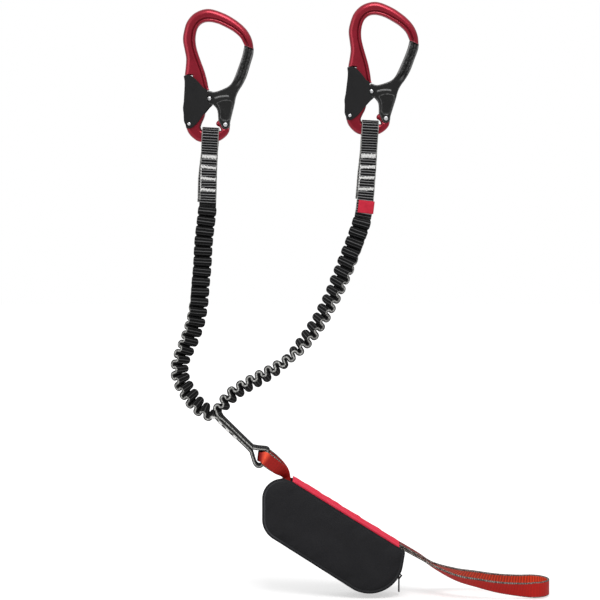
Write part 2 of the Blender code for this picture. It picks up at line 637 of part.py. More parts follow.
def strip(name, sections, width, material_name):
    """One closed strip through its sections. A width can be one value or one for each section."""
    widths = width if isinstance(width, list) else [width] * len(sections)
    rings = [station(place, path, way, wide, thickness)
             for (place, path, way, thickness), wide in zip(sections, widths)]
    return stack(name, rings, material_name)


def build_arm_webbing():
    """One webbing: left eye, left arm, tail, link, tail, right arm, right eye."""
    halves = {}
    for side, points in (("left", LEFT_ROUTE), ("right", RIGHT_ROUTE)):
        link = LINK_ROUTE[:LINK_MIDDLE + 1] if side == "left" else LINK_ROUTE[:LINK_MIDDLE - 1:-1]
        route = Route(points + link)
        waves, length = rippled(route, side)
        sections = eye_sections(side, route) + waves
        rest = route.length - length
        steps = math.ceil(rest / WEB_STEP)
        for step in range(1, steps + 1):
            along = rest * step / steps
            thinned = min(along / THICKEN, 1)
            thickness = WEB_RIPPLED + (WEB_TAIL - WEB_RIPPLED) * thinned
            sections.append(strand(route, length + along, 0, thickness))
        halves[side] = sections
    joined = with_paths(halves["left"] + halves["right"][-2::-1])
    print("arm webbing: least gap to itself %.2f mm" % (least_gap(joined) * 1000))
    return strip("arm_webbing", joined, WEB_WIDTH, "arm_webbing")


def least_gap(sections):
    """Least distance between faces of the strip that lie across a bend or further along it."""
    samples = []
    run = 0
    for k, (place, path, way, thickness) in enumerate(sections):
        if k:
            run += (place - sections[k - 1][0]).length
        for share in (-0.5, 0, 0.5):
            samples.append((place + way.normalized() * WEB_WIDTH * share, thickness, run))
    least = WEB_WIDTH
    for k, (place, thickness, run) in enumerate(samples):
        for other, other_thickness, other_run in samples[k + 3:k + 150]:
            if other_run - run > RIPPLE_PITCH * 0.7:
                least = min(least, (other - place).length - (thickness + other_thickness) / 2)
    return least


def build_tag():
    """Woven tag sewn round the right arm below the sewn layer."""
    centre, along, across, thickness = strand(Route(RIGHT_ROUTE), TAG_DROP + TAG_HEIGHT / 2, 0, WEB_FLAT,
                                              -(LAYER_GAP + WEB_FLAT) / 2)
    thick = across.cross(along)
    rings = []
    for end, grow in ((-1, 0), (1, 0), (1, TAG_THICKNESS), (-1, TAG_THICKNESS), (-1, 0)):
        side = across * (WEB_WIDTH / 2 + RUNNING_GAP + grow)
        face = thick * (thickness / 2 + RUNNING_GAP + grow)
        middle = centre + along * end * TAG_HEIGHT / 2
        rings.append([middle + side + face, middle - side + face, middle - side - face, middle + side - face])
    bm = bmesh.new()
    levels = [[bm.verts.new(point) for point in ring] for ring in rings[:-1]]
    for first, second in zip(levels, levels[1:] + levels[:1]):
        for k in range(4):
            after = (k + 1) % 4
            bm.faces.new((first[k], first[after], second[after], second[k]))
    return add_object("arm_tag", bm, "tag_red")


def rounded_corners(corners, radii, steps):
    """A closed outline with each corner rounded by its own radius."""
    outline = []
    points = [Vector(corner) for corner in corners]
    for before, corner, after, radius in zip(points[-1:] + points[:-1], points,
                                             points[1:] + points[:1], radii):
        first = (before - corner).normalized()
        second = (after - corner).normalized()
        half = first.angle(second) / 2
        centre = corner + (first + second).normalized() * radius / math.sin(half)
        start = corner + first * radius / math.tan(half) - centre
        end = corner + second * radius / math.tan(half) - centre
        from_turn = math.atan2(start.y, start.x)
        turn = math.atan2(end.y, end.x) - from_turn
        turn = (turn + math.pi) % (2 * math.pi) - math.pi
        outline += arc(centre, radius, from_turn, from_turn + turn, steps)
    return outline


def corner_centre(index):
    """Centre of a pouch corner's rounding."""
    points = [Vector(corner) for corner in POUCH_CORNERS]
    corner = points[index]
    first = (points[index - 1] - corner).normalized()
    second = (points[(index + 1) % 4] - corner).normalized()
    return corner + (first + second).normalized() * POUCH_RADII[index] / math.sin(first.angle(second) / 2)


def pouch_outline(inwards, first_radius):
    """The pouch's outline, moved inwards."""
    outline = rounded_corners(POUCH_CORNERS, [first_radius] + POUCH_RADII[1:], CORNER_STEPS)
    return inset(list(reversed(outline)), [inwards] * len(outline))[::-1]


def part_of(outline, shares):
    """The stretch of an open run of points between two shares of its length."""
    lengths = [0]
    for start, end in zip(outline, outline[1:]):
        lengths.append(lengths[-1] + (end - start).length)
    low, high = (share * lengths[-1] for share in shares)
    points = []
    for k in range(len(outline) - 1):
        span = lengths[k + 1] - lengths[k]
        for edge in (low, high):
            if lengths[k] < edge <= lengths[k + 1]:
                points.append((edge, outline[k].lerp(outline[k + 1], (edge - lengths[k]) / span)))
        if low < lengths[k] < high:
            points.append((lengths[k], outline[k]))
    return [point for _, point in sorted(points, key=lambda pair: pair[0])]


def band(name, points, width, thickness, material_name):
    """A band whose width lies along Y, following points in the X, Z plane."""
    sections = []
    for k, point in enumerate(points):
        before = points[max(k - 1, 0)]
        after = points[min(k + 1, len(points) - 1)]
        first = (point - before).normalized() if k else (after - point).normalized()
        second = (after - point).normalized() if k < len(points) - 1 else first
        way = (first + second).normalized()
        sections.append((Vector((point.x, 0, point.y)), Vector((way.x, 0, way.y)), Vector((0, 1, 0)),
                         thickness))
    return strip(name, sections, width, material_name)


def top_run(inwards):
    """The pouch outline from the top of its left end to its right corner, left to right."""
    outline = pouch_outline(inwards, POUCH_RADII[0])
    return outline[:CORNER_STEPS + 1] + outline[CORNER_STEPS + 1:CORNER_STEPS + 2]


def side_run(inwards):
    """The pouch outline from its right corner down, along the bottom and up the left end."""
    outline = pouch_outline(inwards, PINCHED_RADIUS)
    return outline[CORNER_STEPS + 1:] + outline[:CORNER_STEPS + 1]


def build_pouch():
    """Two panels with the bands between them: a red one on top, a black one round the rest."""
    centre_line = BAND_INSET + BAND_THICKNESS / 2
    half_panel = PANEL_THICKNESS / 2
    for name, side, radius in (("pouch_front", -1, POUCH_RADII[0]), ("pouch_back", 1, PINCHED_RADIUS)):
        panel = slab(name, pouch_outline(0, radius), half_panel, PANEL_EDGE, "pouch_fabric")
        panel.location = (0, side * (POUCH_DEPTH / 2 - half_panel), 0)
    width = POUCH_DEPTH - 2 * PANEL_THICKNESS - 2 * SEAT_GAP
    top = part_of(top_run(BAND_THICKNESS / 2 - TOP_BULGE), TOP_BAND_SHARES)
    band("pouch_top_band", top, width, BAND_THICKNESS, "band_red")
    sides = part_of(side_run(centre_line), SIDE_BAND_SHARES)
    band("pouch_side_band", sides, width, BAND_THICKNESS, "pouch_fabric")


def build_connecting_loop():
    """Red webbing folded round the arms' link, both ends tucked into the pouch."""
    rows = []
    start = np.array(LINK_FOLD)
    first = np.array(RED_ROUTE[0])
    for step in range(LINK_STEPS):
        turn = math.pi / 2 * step / LINK_STEPS
        opened = 1 - math.cos(turn)
        row = start + (first - start) * opened ** 3
        row[0] = start[0] + (first[0] - start[0]) * opened
        row[3] = math.sin(turn)
        rows.append(row)
    rows += through(RED_ROUTE, 2)
    near = [(row, -1) for row in rows[::-1]]
    far = [(row, 1) for row in rows[1:]]
    places = []
    for (x, z, _, share, _), side in near + far:
        spread = LINK_NECK + (LINK_SPREAD - LINK_NECK) * share if share else LINK_NECK
        places.append(Vector((x, side * spread, z)))
    places[len(rows) - 1].y = 0
    sections = []
    widths = []
    for k, (row, side) in enumerate(near + far):
        before = places[max(k - 1, 0)]
        after = places[min(k + 1, len(places) - 1)]
        way = (after - before).normalized()
        lean = math.radians(row[2])
        across = Vector((math.sin(lean), 0, math.cos(lean)))
        across -= way * across.dot(way)
        sections.append((places[k], way, across, RED_THICKNESS))
        widths.append(RED_WIDTH * row[4])
    return strip("connecting_loop", sections, widths, "red_webbing")


def build_absorber():
    """Tear webbing folded to and fro below the top band."""
    corners = [Vector(corner) for corner in POUCH_CORNERS]
    along = (corners[1] - corners[0]).normalized()
    down = Vector((along.y, -along.x))
    begin = corners[0] + (corners[1] - corners[0]) * ABSORBER_SHARE
    first = begin + down * (BAND_THICKNESS - TOP_BULGE + SEAT_GAP + ABSORBER_THICKNESS / 2)
    bend = ABSORBER_PITCH / 2
    points = []
    for layer in range(ABSORBER_LAYERS):
        left = first + down * layer * ABSORBER_PITCH
        right = left + along * ABSORBER_LENGTH
        if layer % 2 == 0:
            points += [left, right]
            centre, start, end = right + down * bend, math.pi / 2, -math.pi / 2
        else:
            points += [right, left]
            centre, start, end = left + down * bend, math.pi / 2, 3 * math.pi / 2
        if layer < ABSORBER_LAYERS - 1:
            tilt = math.atan2(along.y, along.x)
            points += arc(centre, bend, start + tilt, end + tilt, 4)[1:-1]
    return band("absorber_webbing", points, RED_WIDTH, ABSORBER_THICKNESS, "red_webbing")


def build_harness_loop():
    """Red webbing loop: flat at the pouch, each side turning upright as the loop opens."""
    route = Route(LOOP_ROUTE, 4)
    sides = {}
    for side in (-1, 1):
        places = []
        for mixed in route.points:
            spread = LOOP_SPREAD * mixed.w / 2
            lift = (LOOP_THICKNESS + LAYER_GAP) / 2 * (1 - mixed.w)
            places.append((Vector((mixed.x, side * spread, mixed.y + side * lift)), math.radians(mixed.z)))
        sides[side] = places
    last = route.points[-1]
    radius = LOOP_SPREAD * last.w / 2
    turns = [-math.pi / 2 + math.pi * step / LOOP_END_STEPS for step in range(1, LOOP_END_STEPS)]
    end = [(Vector((last.x + radius * math.cos(turn), radius * math.sin(turn), last.y)),
            0) for turn in turns]
    path = sides[-1] + end + sides[1][::-1]
    sections = []
    for k, (place, turn) in enumerate(path):
        before = path[max(k - 1, 0)][0]
        after = path[min(k + 1, len(path) - 1)][0]
        way = (after - before).normalized()
        width_way = Vector((0, math.sin(turn), -math.cos(turn)))
        width_way -= way * width_way.dot(way)
        sections.append((place, way, width_way, LOOP_THICKNESS))
    return strip("harness_loop", sections, RED_WIDTH, "red_webbing")


def build_chain():
    """Zip chain lying on the lower band."""
    chain = part_of(side_run(BAND_INSET - SEAT_GAP - CHAIN_THICKNESS / 2), CHAIN_SHARES)
    return band("zip_chain", chain, CHAIN_WIDTH, CHAIN_THICKNESS, "zip_black")


def on_slider(along, out):
    """A place beside the slider, along the chain and out from its face."""
    centre = corner_centre(2)
    reach = POUCH_RADII[2] - BAND_INSET + SEAT_GAP + CHAIN_THICKNESS
    outward = Vector((math.cos(SLIDER_ANGLE), math.sin(SLIDER_ANGLE)))
    return centre + outward * (reach + out) + Vector((-outward.y, outward.x)) * along


def box_on_slider(name, start, end, low, high, width, material_name=None):
    """A block on the slider, between two lengths along the chain and two heights over it."""
    places = [(start, low), (end, low), (end, high), (start, high)]
    return slab(name, [on_slider(along, out) for along, out in places], width / 2, SEAT_GAP, material_name)


def build_slider():
    """Slider plate over the chain with the bridge that holds the pull."""
    top = RUNNING_GAP + SLIDER_PLATE
    half = SLIDER_LENGTH / 2
    bridge = BRIDGE_LENGTH / 2
    slider = box_on_slider("zip_slider", -half, half, RUNNING_GAP, top, SLIDER_WIDTH, "steel")
    bar = box_on_slider("bridge", -bridge, bridge, top - SLIDER_PLATE / 2, top + BRIDGE_HEIGHT, BRIDGE_WIDTH)
    room = box_on_slider("bridge_room", BRIDGE_BAR - bridge, bridge - BRIDGE_BAR, top,
                         top + BRIDGE_HEIGHT - BRIDGE_BAR, BRIDGE_WIDTH + OVERRUN)
    combine(slider, [bar], "UNION")
    combine(slider, [room])
    return shift_origin(slider, corner_centre(2))


def pull_centre():
    """Centre of the pull's crossbar, low inside the bridge."""
    lean = (1 + math.sqrt(0.5)) * PULL_THICKNESS / 2
    low = BRIDGE_BAR - BRIDGE_LENGTH / 2 + SEAT_GAP + lean
    return on_slider(low, RUNNING_GAP + SLIDER_PLATE + (BRIDGE_HEIGHT - BRIDGE_BAR) / 2)


def build_pull():
    """Pull tab: a plate hanging from its crossbar, with a hole round the bridge."""
    centre = pull_centre()
    top = centre.y + PULL_THICKNESS / 2
    low = top - PULL_LENGTH
    side = PULL_WIDTH / 2
    cut = PULL_THICKNESS
    face = [(-side, top), (side, top), (side, low + cut), (side - cut, low), (cut - side, low),
            (-side, low + cut)]
    half = PULL_THICKNESS / 2
    pull = stack("zip_pull", [[(centre.x + x, y, z) for y, z in face] for x in (-half, half)], "zip_black")
    hole_top = top - PULL_THICKNESS
    room = PULL_HOLE / 2
    hole = [(-room, hole_top), (room, hole_top), (room, hole_top - PULL_HOLE), (-room, hole_top - PULL_HOLE)]
    reach = half + OVERRUN
    cutter = stack("pull_hole", [[(centre.x + x, y, z) for y, z in hole] for x in (-reach, reach)])
    return shift_origin(combine(pull, [cutter]), centre)


def shift_origin(target, place):
    """Put the object's origin at a place in the X, Z plane."""
    move = Vector((place[0], 0, place[1]))
    for vertex in target.data.vertices:
        vertex.co -= move
    target.location = move
    return target


def build_all():
    """Every piece of the lanyard, shaded smooth where it is round."""
    for old in list(bpy.data.objects):
        bpy.data.objects.remove(old)
    place_carabiners()
    build_arm_webbing()
    build_tag()
    build_connecting_loop()
    build_absorber()
    build_harness_loop()
    build_pouch()
    build_chain()
    build_slider()
    build_pull()
    for made in bpy.data.objects:
        if made.type == "MESH":
            smooth(made)


build_all()
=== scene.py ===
"""Looks of a via ferrata lanyard: two palm-lock carabiners on rippled elastic arms, a red link,
a zipped absorber pouch and a red harness loop, in a plain pale studio."""

import math
import random

import bmesh
import bpy
import numpy as np
from mathutils import Matrix, Vector
from mathutils.geometry import delaunay_2d_cdt


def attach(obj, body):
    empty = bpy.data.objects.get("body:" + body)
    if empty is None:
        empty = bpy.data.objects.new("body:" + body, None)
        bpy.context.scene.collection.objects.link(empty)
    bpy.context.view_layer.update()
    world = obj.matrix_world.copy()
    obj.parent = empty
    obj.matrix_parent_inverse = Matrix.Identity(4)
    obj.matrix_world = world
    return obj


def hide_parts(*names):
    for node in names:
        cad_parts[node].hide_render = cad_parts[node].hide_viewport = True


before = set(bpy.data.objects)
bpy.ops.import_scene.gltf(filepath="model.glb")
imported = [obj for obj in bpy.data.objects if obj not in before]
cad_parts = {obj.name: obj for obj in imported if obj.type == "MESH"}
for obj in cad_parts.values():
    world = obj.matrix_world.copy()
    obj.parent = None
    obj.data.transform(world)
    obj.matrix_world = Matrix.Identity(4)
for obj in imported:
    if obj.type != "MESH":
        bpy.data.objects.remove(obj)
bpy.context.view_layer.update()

# Studio
# A plain white sweep in a white room, a wide soft light above and a weaker one to the left.
# The photograph is taken from just above the middle of the hanging lanyard with a long lens.

VIEW_TARGET = Vector((0.085145, 0, -0.259510))
VIEW_DISTANCE = 1.8
VIEW_ELEVATION = math.radians(4)
VIEW_HALF_WIDTH = 0.282
FLOOR_HEIGHT = -0.5408
FLOOR_SIZE = 6
GLOW_DEPTH = 0.5
LAMPS = [("key", (0.30, -0.95, 1.05), 0.8, 13), ("fill", (-1.1, -0.8, 0.1), 1.0, 4)]
# What metal mirrors: light boxes above, left and right in a dimmer room. Each is given by its axis,
# where along it the box fades in and is full, and its strength.
SOFT_BOXES = [("Z", 0.30, 0.62, 0.46), ("X", -0.55, -0.80, 0.26), ("X", 0.72, 0.90, 0.20)]
ROOM_GLOW = 0.32
ROOM_LIGHT = 0.50


def linear(hex_colour):
    """An sRGB hex colour as linear RGBA."""
    channels = [int(hex_colour[k:k + 2], 16) / 255 for k in (1, 3, 5)]
    return (*[c / 12.92 if c <= 0.04045 else ((c + 0.055) / 1.055) ** 2.4 for c in channels], 1)


def wire(tree, node, wires):
    """Link each of a node's inputs to a socket, or set it to a value or a hex colour."""
    for name, value in wires.items():
        if isinstance(value, bpy.types.NodeSocket):
            tree.links.new(value, node.inputs[name])
        else:
            node.inputs[name].default_value = linear(value) if isinstance(value, str) else value


def add(tree, kind, wires=None, out="Fac", **settings):
    """Add a shader node with its settings and wires. Gives back the output of the wanted name, or
    else its first one in use."""
    made = tree.nodes.new("ShaderNode" + kind)
    for name, value in settings.items():
        setattr(made, name, value)
    wire(tree, made, wires or {})
    usable = [output for output in made.outputs if output.enabled]
    return next((output for output in usable if output.name == out), usable[0] if usable else None)


def new_object(name, data):
    """An object in the scene."""
    made = bpy.data.objects.new(name, data)
    bpy.context.scene.collection.objects.link(made)
    return made


camera = new_object("camera", bpy.data.cameras.new("camera"))
view_way = Vector((0, -math.cos(VIEW_ELEVATION), math.sin(VIEW_ELEVATION)))
camera.location = VIEW_TARGET + view_way * VIEW_DISTANCE
camera.rotation_euler = (-view_way).to_track_quat("-Z", "Y").to_euler()
camera.data.angle = 2 * math.atan(VIEW_HALF_WIDTH / VIEW_DISTANCE)
camera.data.clip_start = 0.02
bpy.context.scene.camera = camera
bpy.context.scene.view_settings.view_transform = "Standard"

world = bpy.data.worlds.new("studio")
world.use_nodes = True
bpy.context.scene.world = world
room = world.node_tree
room.nodes.clear()
seen, glossy, clear = [add(room, "LightPath", out=f"Is {ray} Ray")
                       for ray in ("Camera", "Glossy", "Transmission")]
seen = add(room, "Math", {0: seen, 1: glossy}, operation="MAXIMUM")
seen = add(room, "Math", {0: seen, 1: clear}, operation="MAXIMUM")
facing = add(room, "TexCoord", out="Generated")
boxes = ROOM_GLOW
for axis, begin, end, power in SOFT_BOXES:
    toward = add(room, "SeparateXYZ", {0: facing}, out=axis)
    box = add(room, "MapRange", {"Value": toward, "From Min": begin, "From Max": end, "To Max": power},
              interpolation_type="SMOOTHSTEP")
    boxes = add(room, "Math", {0: box, 1: boxes}, operation="ADD")
mirrored = add(room, "Mix", {"Factor": glossy, "A": 1.0, "B": boxes})
strength = add(room, "Mix", {"Factor": seen, "A": ROOM_LIGHT, "B": mirrored})
backdrop = add(room, "Background", {"Color": "#ffffff", "Strength": strength})
add(room, "OutputWorld", {"Surface": backdrop})

for name, place, size, power in LAMPS:
    lamp = new_object(name, bpy.data.lights.new(name, "AREA"))
    lamp.location = place
    lamp.rotation_euler = (VIEW_TARGET - Vector(place)).to_track_quat("-Z", "Y").to_euler()
    lamp.data.size = size
    lamp.data.energy = power

bpy.ops.object.select_all(action="DESELECT")
bpy.ops.mesh.primitive_plane_add(size=FLOOR_SIZE, location=(0.1, 0.8, FLOOR_HEIGHT))
floor = bpy.context.active_object
floor.name = "floor"
floor.data.transform(floor.matrix_world)
floor.matrix_world = Matrix.Identity(4)

# Matt white paper: it takes soft shadows, and the camera also sees it glow a little, more with
# distance, so that it melts into the white behind it.
paint = bpy.data.materials.new("matt white paper")
paint.use_nodes = True
tree = paint.node_tree
tree.nodes.clear()
paper = add(tree, "BsdfDiffuse", {"Color": "#e6e6e6"})
depth = add(tree, "SeparateXYZ", {0: add(tree, "TexCoord", out="Object")}, out="Y")
level = add(tree, "MapRange", {"Value": depth, "From Max": GLOW_DEPTH, "To Min": 0.50, "To Max": 0.75},
            interpolation_type="SMOOTHSTEP")
glow = add(tree, "Emission", {"Color": "#ffffff", "Strength": level})
unlit = add(tree, "Emission", {"Color": "#ffffff", "Strength": 0.0})
either = add(tree, "MixShader", {0: add(tree, "LightPath", out="Is Camera Ray"), 1: unlit, 2: glow})
add(tree, "OutputMaterial", {"Surface": add(tree, "AddShader", {0: paper, 1: either})})
floor.data.materials.append(paint)

# Elastic arm webbing
# One flat tube of black polyester webbing with an elastic core, gathered into ripples where it is
# free and flat where it is sewn. Its edges show the grey core yarn between two dark rims.

WEB_WIDTH = 0.0158
WEB_FLAT = 0.0014
WEB_RIPPLED = 0.0037
WEB_TAIL = 0.0030
LAYER_GAP = 0.0005
EYE_RADIUS = 0.0072
EYE_DROP = 0.0185
BACK_SHIFT = {"left": 0.0020, "right": 0.0014}
BACK_SHARE = 0.2
RIPPLE_PITCH = {"left": 0.00951, "right": 0.00989}
RIPPLE_RISE = 0.0068
RIPPLE_LEAN = math.radians(16)
RIPPLE_FADE = 0.012
THICKEN = 0.010
LEFT_ROUTE = [(0.0015, -0.1064, 90), (-0.0002, -0.1376, 90), (-0.0014, -0.1712, 88),
              (-0.0052, -0.2031, 85), (-0.0068, -0.2266, 82), (-0.0088, -0.2454, 78),
              (-0.0104, -0.2614, 70), (-0.0138, -0.2803, 57), (-0.0202, -0.2991, 44),
              (-0.0268, -0.3143, 36), (-0.0288, -0.3266, 33), (-0.0258, -0.3380, 32),
              (-0.0205, -0.3474, 31), (-0.0138, -0.3569, 29), (-0.0068, -0.3633, 25),
              (-0.0017, -0.3660, 18), (0.0030, -0.3671, 12), (0.0073, -0.3693, 7), (0.0119, -0.3752, 2),
              (0.0364, -0.3992, 0)]
RIGHT_ROUTE = [(0.1504, -0.0997, -90), (0.1484, -0.1376, -90), (0.1447, -0.1778, -88),
               (0.1385, -0.2003, -80), (0.1328, -0.2162, -68), (0.1280, -0.2285, -56),
               (0.1225, -0.2416, -43), (0.1153, -0.2576, -31), (0.1058, -0.2755, -27),
               (0.0966, -0.2897, -24), (0.0862, -0.3027, -14), (0.0732, -0.3158, 4),
               (0.0587, -0.3265, 20), (0.0448, -0.3343, 24), (0.0315, -0.3416, 24),
               (0.0211, -0.3490, 23), (0.0150, -0.3555, 20), (0.0105, -0.3610, 16),
               (0.0082, -0.3657, 10), (0.0107, -0.3699, 4), (0.0140, -0.3729, 1), (0.0385, -0.3969, 0)]
LINK_ROUTE = [(0.0396, -0.4045, 0), (0.0412, -0.4096, 0), (0.0426, -0.4136, 0), (0.0451, -0.4161, 0),
              (0.0483, -0.4159, 0), (0.0506, -0.4129, 0), (0.0522, -0.4090, 0), (0.0541, -0.4052, 0),
              (0.0552, -0.4024, 0), (0.0537, -0.4004, 0), (0.0492, -0.3998, 0), (0.0445, -0.3993, 0),
              (0.0412, -0.3985, 0)]
LINK_MIDDLE = 6
SEWN_LENGTH = {"left": 0.0580, "right": 0.0757}
BACK_LENGTH = {"left": 0.0615, "right": 0.0655}
RIPPLE_COUNT = {"left": 23, "right": 24.5}
RIPPLE_SIDE = {"left": -1, "right": 1}
TAIL_TACKS = (0.0030, 0.0125, 0.0220, 0.0315)
TAIL_PUFF = 0.0007
BACK_STEPS = 24
EYE_STEPS = 32
SECTION_STEP = 0.0006
CROWDED = 0.0007
# How much of the flat webbing's ribs shows: on the first and the last ripple, and on the tail.
FOLD_LOOKS = (0.42, 0.20)
TAIL_LOOK = 0.35
# A gathered bend is wider by a share where it comes forward this far, and narrower where it goes back.
BEND_FRONT = 0.0025
BEND_SHARE = 0.085
SMOOTH_OVER = 16
# Sizes in the weave, from the photograph: cross ribs, lengthwise lines, grain and the ribs' drift.
RIB_PITCH = 0.0025
WARP_PITCH = 0.0017
CORE_LINE = (0.0009, 0.0006)
YARN_GRAIN = 0.00111
WEFT_DRIFT = 0.00714


def through(points, steps):
    """Points along a smooth curve through the given points."""
    knots = [Vector(point) for point in points]
    padded = [2 * knots[0] - knots[1]] + knots + [2 * knots[-1] - knots[-2]]
    curve = []
    for before, start, end, after in zip(padded, padded[1:], padded[2:], padded[3:]):
        for step in range(steps):
            t = step / steps
            curve.append((2 * start + (end - before) * t
                          + (2 * before - 5 * start + 4 * end - after) * t ** 2
                          + (3 * start - before - 3 * end + after) * t ** 3) / 2)
    return curve + [knots[-1]]


def clamp(value):
    """A value kept between nothing and one."""
    return min(max(value, 0), 1)


def heading(points, k):
    """The direction of a run of points at one of them."""
    return (points[min(k + 1, len(points) - 1)] - points[max(k - 1, 0)]).normalized()


def upright(point, y=0):
    """A place in space from a place in the plane of the photograph."""
    return Vector((point.x, y, point.y))


class Route:
    """A smooth route in the X, Z plane with its twist, read by length."""

    def __init__(self, points):
        self.points = through(points, 12)
        self.lengths = [0]
        for start, end in zip(self.points, self.points[1:]):
            self.lengths.append(self.lengths[-1] + (end.xy - start.xy).length)
        self.length = self.lengths[-1]

    def at(self, length):
        """Place with its twist, and direction, at a length from the start."""
        length = min(max(length, 0), self.length)
        k = 0
        while k < len(self.lengths) - 2 and self.lengths[k + 1] < length:
            k += 1
        share = (length - self.lengths[k]) / (self.lengths[k + 1] - self.lengths[k])
        before = self.points[max(k - 1, 0)]
        after = self.points[min(k + 2, len(self.points) - 1)]
        return self.points[k].lerp(self.points[k + 1], share), (after.xy - before.xy).normalized()


def strand(route, length, height, thickness, shift, look):
    """Centre, width direction, thickness and look of the webbing at a length of its route."""
    mixed, way = route.at(length)
    twist = math.radians(mixed.z)
    width_way = Vector((0, math.cos(twist), 0)) + Vector((-way.y, 0, way.x)) * math.sin(twist)
    centre = upright(mixed, shift) + width_way.cross(upright(way)) * height
    return centre, width_way, thickness, look


def ripple_profile(pitch, bend_steps, run_steps):
    """One wave as length and height: round bends joined by leaning runs."""
    run = Vector((-math.sin(RIPPLE_LEAN), math.cos(RIPPLE_LEAN)))
    step_way = Vector((math.cos(RIPPLE_LEAN), math.sin(RIPPLE_LEAN)))
    bend = pitch / 4 * math.cos(RIPPLE_LEAN)
    straight = (RIPPLE_RISE / 2 - bend) / math.cos(RIPPLE_LEAN)
    points = []
    for quarter, sign in ((1, 1), (3, -1)):
        centre = Vector((quarter * pitch / 4, 0)) + run * straight * sign
        for step in range(bend_steps + 1):
            turn = math.pi / bend_steps * step
            points.append(centre - step_way * bend * math.cos(turn) + run * bend * sign * math.sin(turn))
        for step in range(1, run_steps):
            points.append(points[-step] - run * sign * 2 * straight * step / run_steps)
    return points


def arm_sections(side, points):
    """Sections of one arm: sewn back layer, eye over the bar, front layer, ripples, tail."""
    route = Route(points)
    start, down = route.at(0)
    centre = upright(start)
    drop = upright(down)
    flat_way = Vector((-down.y, 0, down.x)) * (1 if side == "left" else -1)
    middle = EYE_RADIUS + WEB_FLAT / 2
    layer = (LAYER_GAP + WEB_FLAT) / 2
    touch = math.atan2(-EYE_DROP, layer) + math.acos(middle / math.hypot(EYE_DROP, layer))
    sewn = SEWN_LENGTH[side]
    back = BACK_LENGTH[side]
    sections = []
    for step in range(BACK_STEPS + 1):
        length = back + (EYE_DROP - back) * step / BACK_STEPS
        share = 1 + (BACK_SHARE - 1) * max(step / BACK_STEPS * 2 - 1, 0)
        place, way, thickness, look = strand(route, length, 0, WEB_FLAT, layer, 1)
        sections.append((place - Vector((BACK_SHIFT[side] * share, 0, 0)), way, thickness, look))
    for step in range(1, EYE_STEPS):
        turn = touch + (math.pi - 2 * touch) * step / EYE_STEPS
        place = centre + Vector((0, middle * math.cos(turn), 0)) - drop * (middle * math.sin(turn))
        sections.append((place, flat_way, WEB_FLAT, 1))
    for step in range(EYE_STEPS + 1):
        length = EYE_DROP + (sewn - THICKEN / 2 - EYE_DROP) * step / EYE_STEPS
        sections.append(strand(route, length, 0, WEB_FLAT, -layer, 1))
    pitch = RIPPLE_PITCH[side]
    total = RIPPLE_COUNT[side] * pitch
    chance = random.Random(3)
    for wave in range(math.ceil(RIPPLE_COUNT[side])):
        uneven = chance.uniform(0.95, 1.04)
        for length, rise in ripple_profile(pitch, 10, 2):
            along = wave * pitch + length
            if along >= total:
                break
            height = rise * uneven * RIPPLE_SIDE[side] * clamp(along / RIPPLE_FADE)
            begun = clamp(along / THICKEN)
            dimmer = FOLD_LOOKS[0] + (FOLD_LOOKS[1] - FOLD_LOOKS[0]) * along / total
            # On the ripples the look falls to nothing between the crests, so the pale ribs vanish there:
            # painted shade in the folds.
            folded = dimmer * clamp(abs(rise) / (RIPPLE_RISE / 2)) ** 2
            section = strand(route, sewn + along, height, WEB_FLAT + (WEB_RIPPLED - WEB_FLAT) * begun,
                             -layer * (1 - begun), 1 - begun + begun * folded)
            if along > RIPPLE_FADE or (section[0] - sections[-1][0]).length >= CROWDED:
                sections.append(section)
    rest = route.length - sewn - total
    steps = math.ceil(rest / SECTION_STEP)
    for step in range(1, steps + 1):
        along = rest * step / steps
        thickness = WEB_RIPPLED + (WEB_TAIL - WEB_RIPPLED) * clamp(along / THICKEN)
        if TAIL_TACKS[0] < along < TAIL_TACKS[3] and side == "left":
            waves = math.pi * (along - TAIL_TACKS[0]) / (TAIL_TACKS[1] - TAIL_TACKS[0])
            thickness += math.sin(waves) ** 2 * TAIL_PUFF
        sections.append(strand(route, sewn + total + along, 0, thickness, 0, TAIL_LOOK))
    return sections


def dress(made, mesh_object, body, node_name=None):
    """Give a finished piece its material, the body it rides on and the solid that it replaces."""
    mesh_object.data.materials.clear()
    mesh_object.data.materials.append(made)
    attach(mesh_object, body)
    if node_name:
        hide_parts(node_name)
    return mesh_object


def skin(bm, rings):
    """Faces between rings of points, closed round and over both ends."""
    for low, high in zip(rings, rings[1:]):
        for j in range(len(low)):
            after = (j + 1) % len(low)
            bm.faces.new((low[j], low[after], high[after], high[j]))
    bm.faces.new(rings[0])
    bm.faces.new(rings[-1])


def from_bmesh(name, bm, crisp=50):
    """A smooth object from a bmesh, its faces turned outwards and edges past an angle kept crisp."""
    bmesh.ops.recalc_face_normals(bm, faces=bm.faces)
    mesh = bpy.data.meshes.new(name)
    bm.to_mesh(mesh)
    bm.free()
    mesh.shade_smooth()
    mesh.set_sharp_from_angle(angle=math.radians(crisp))
    return new_object(name, mesh)


def marked_point(bm, place, marks):
    """A point of a bmesh with its value in each layer."""
    vertex = bm.verts.new(place)
    for layer, value in marks:
        vertex[layer] = value
    return vertex


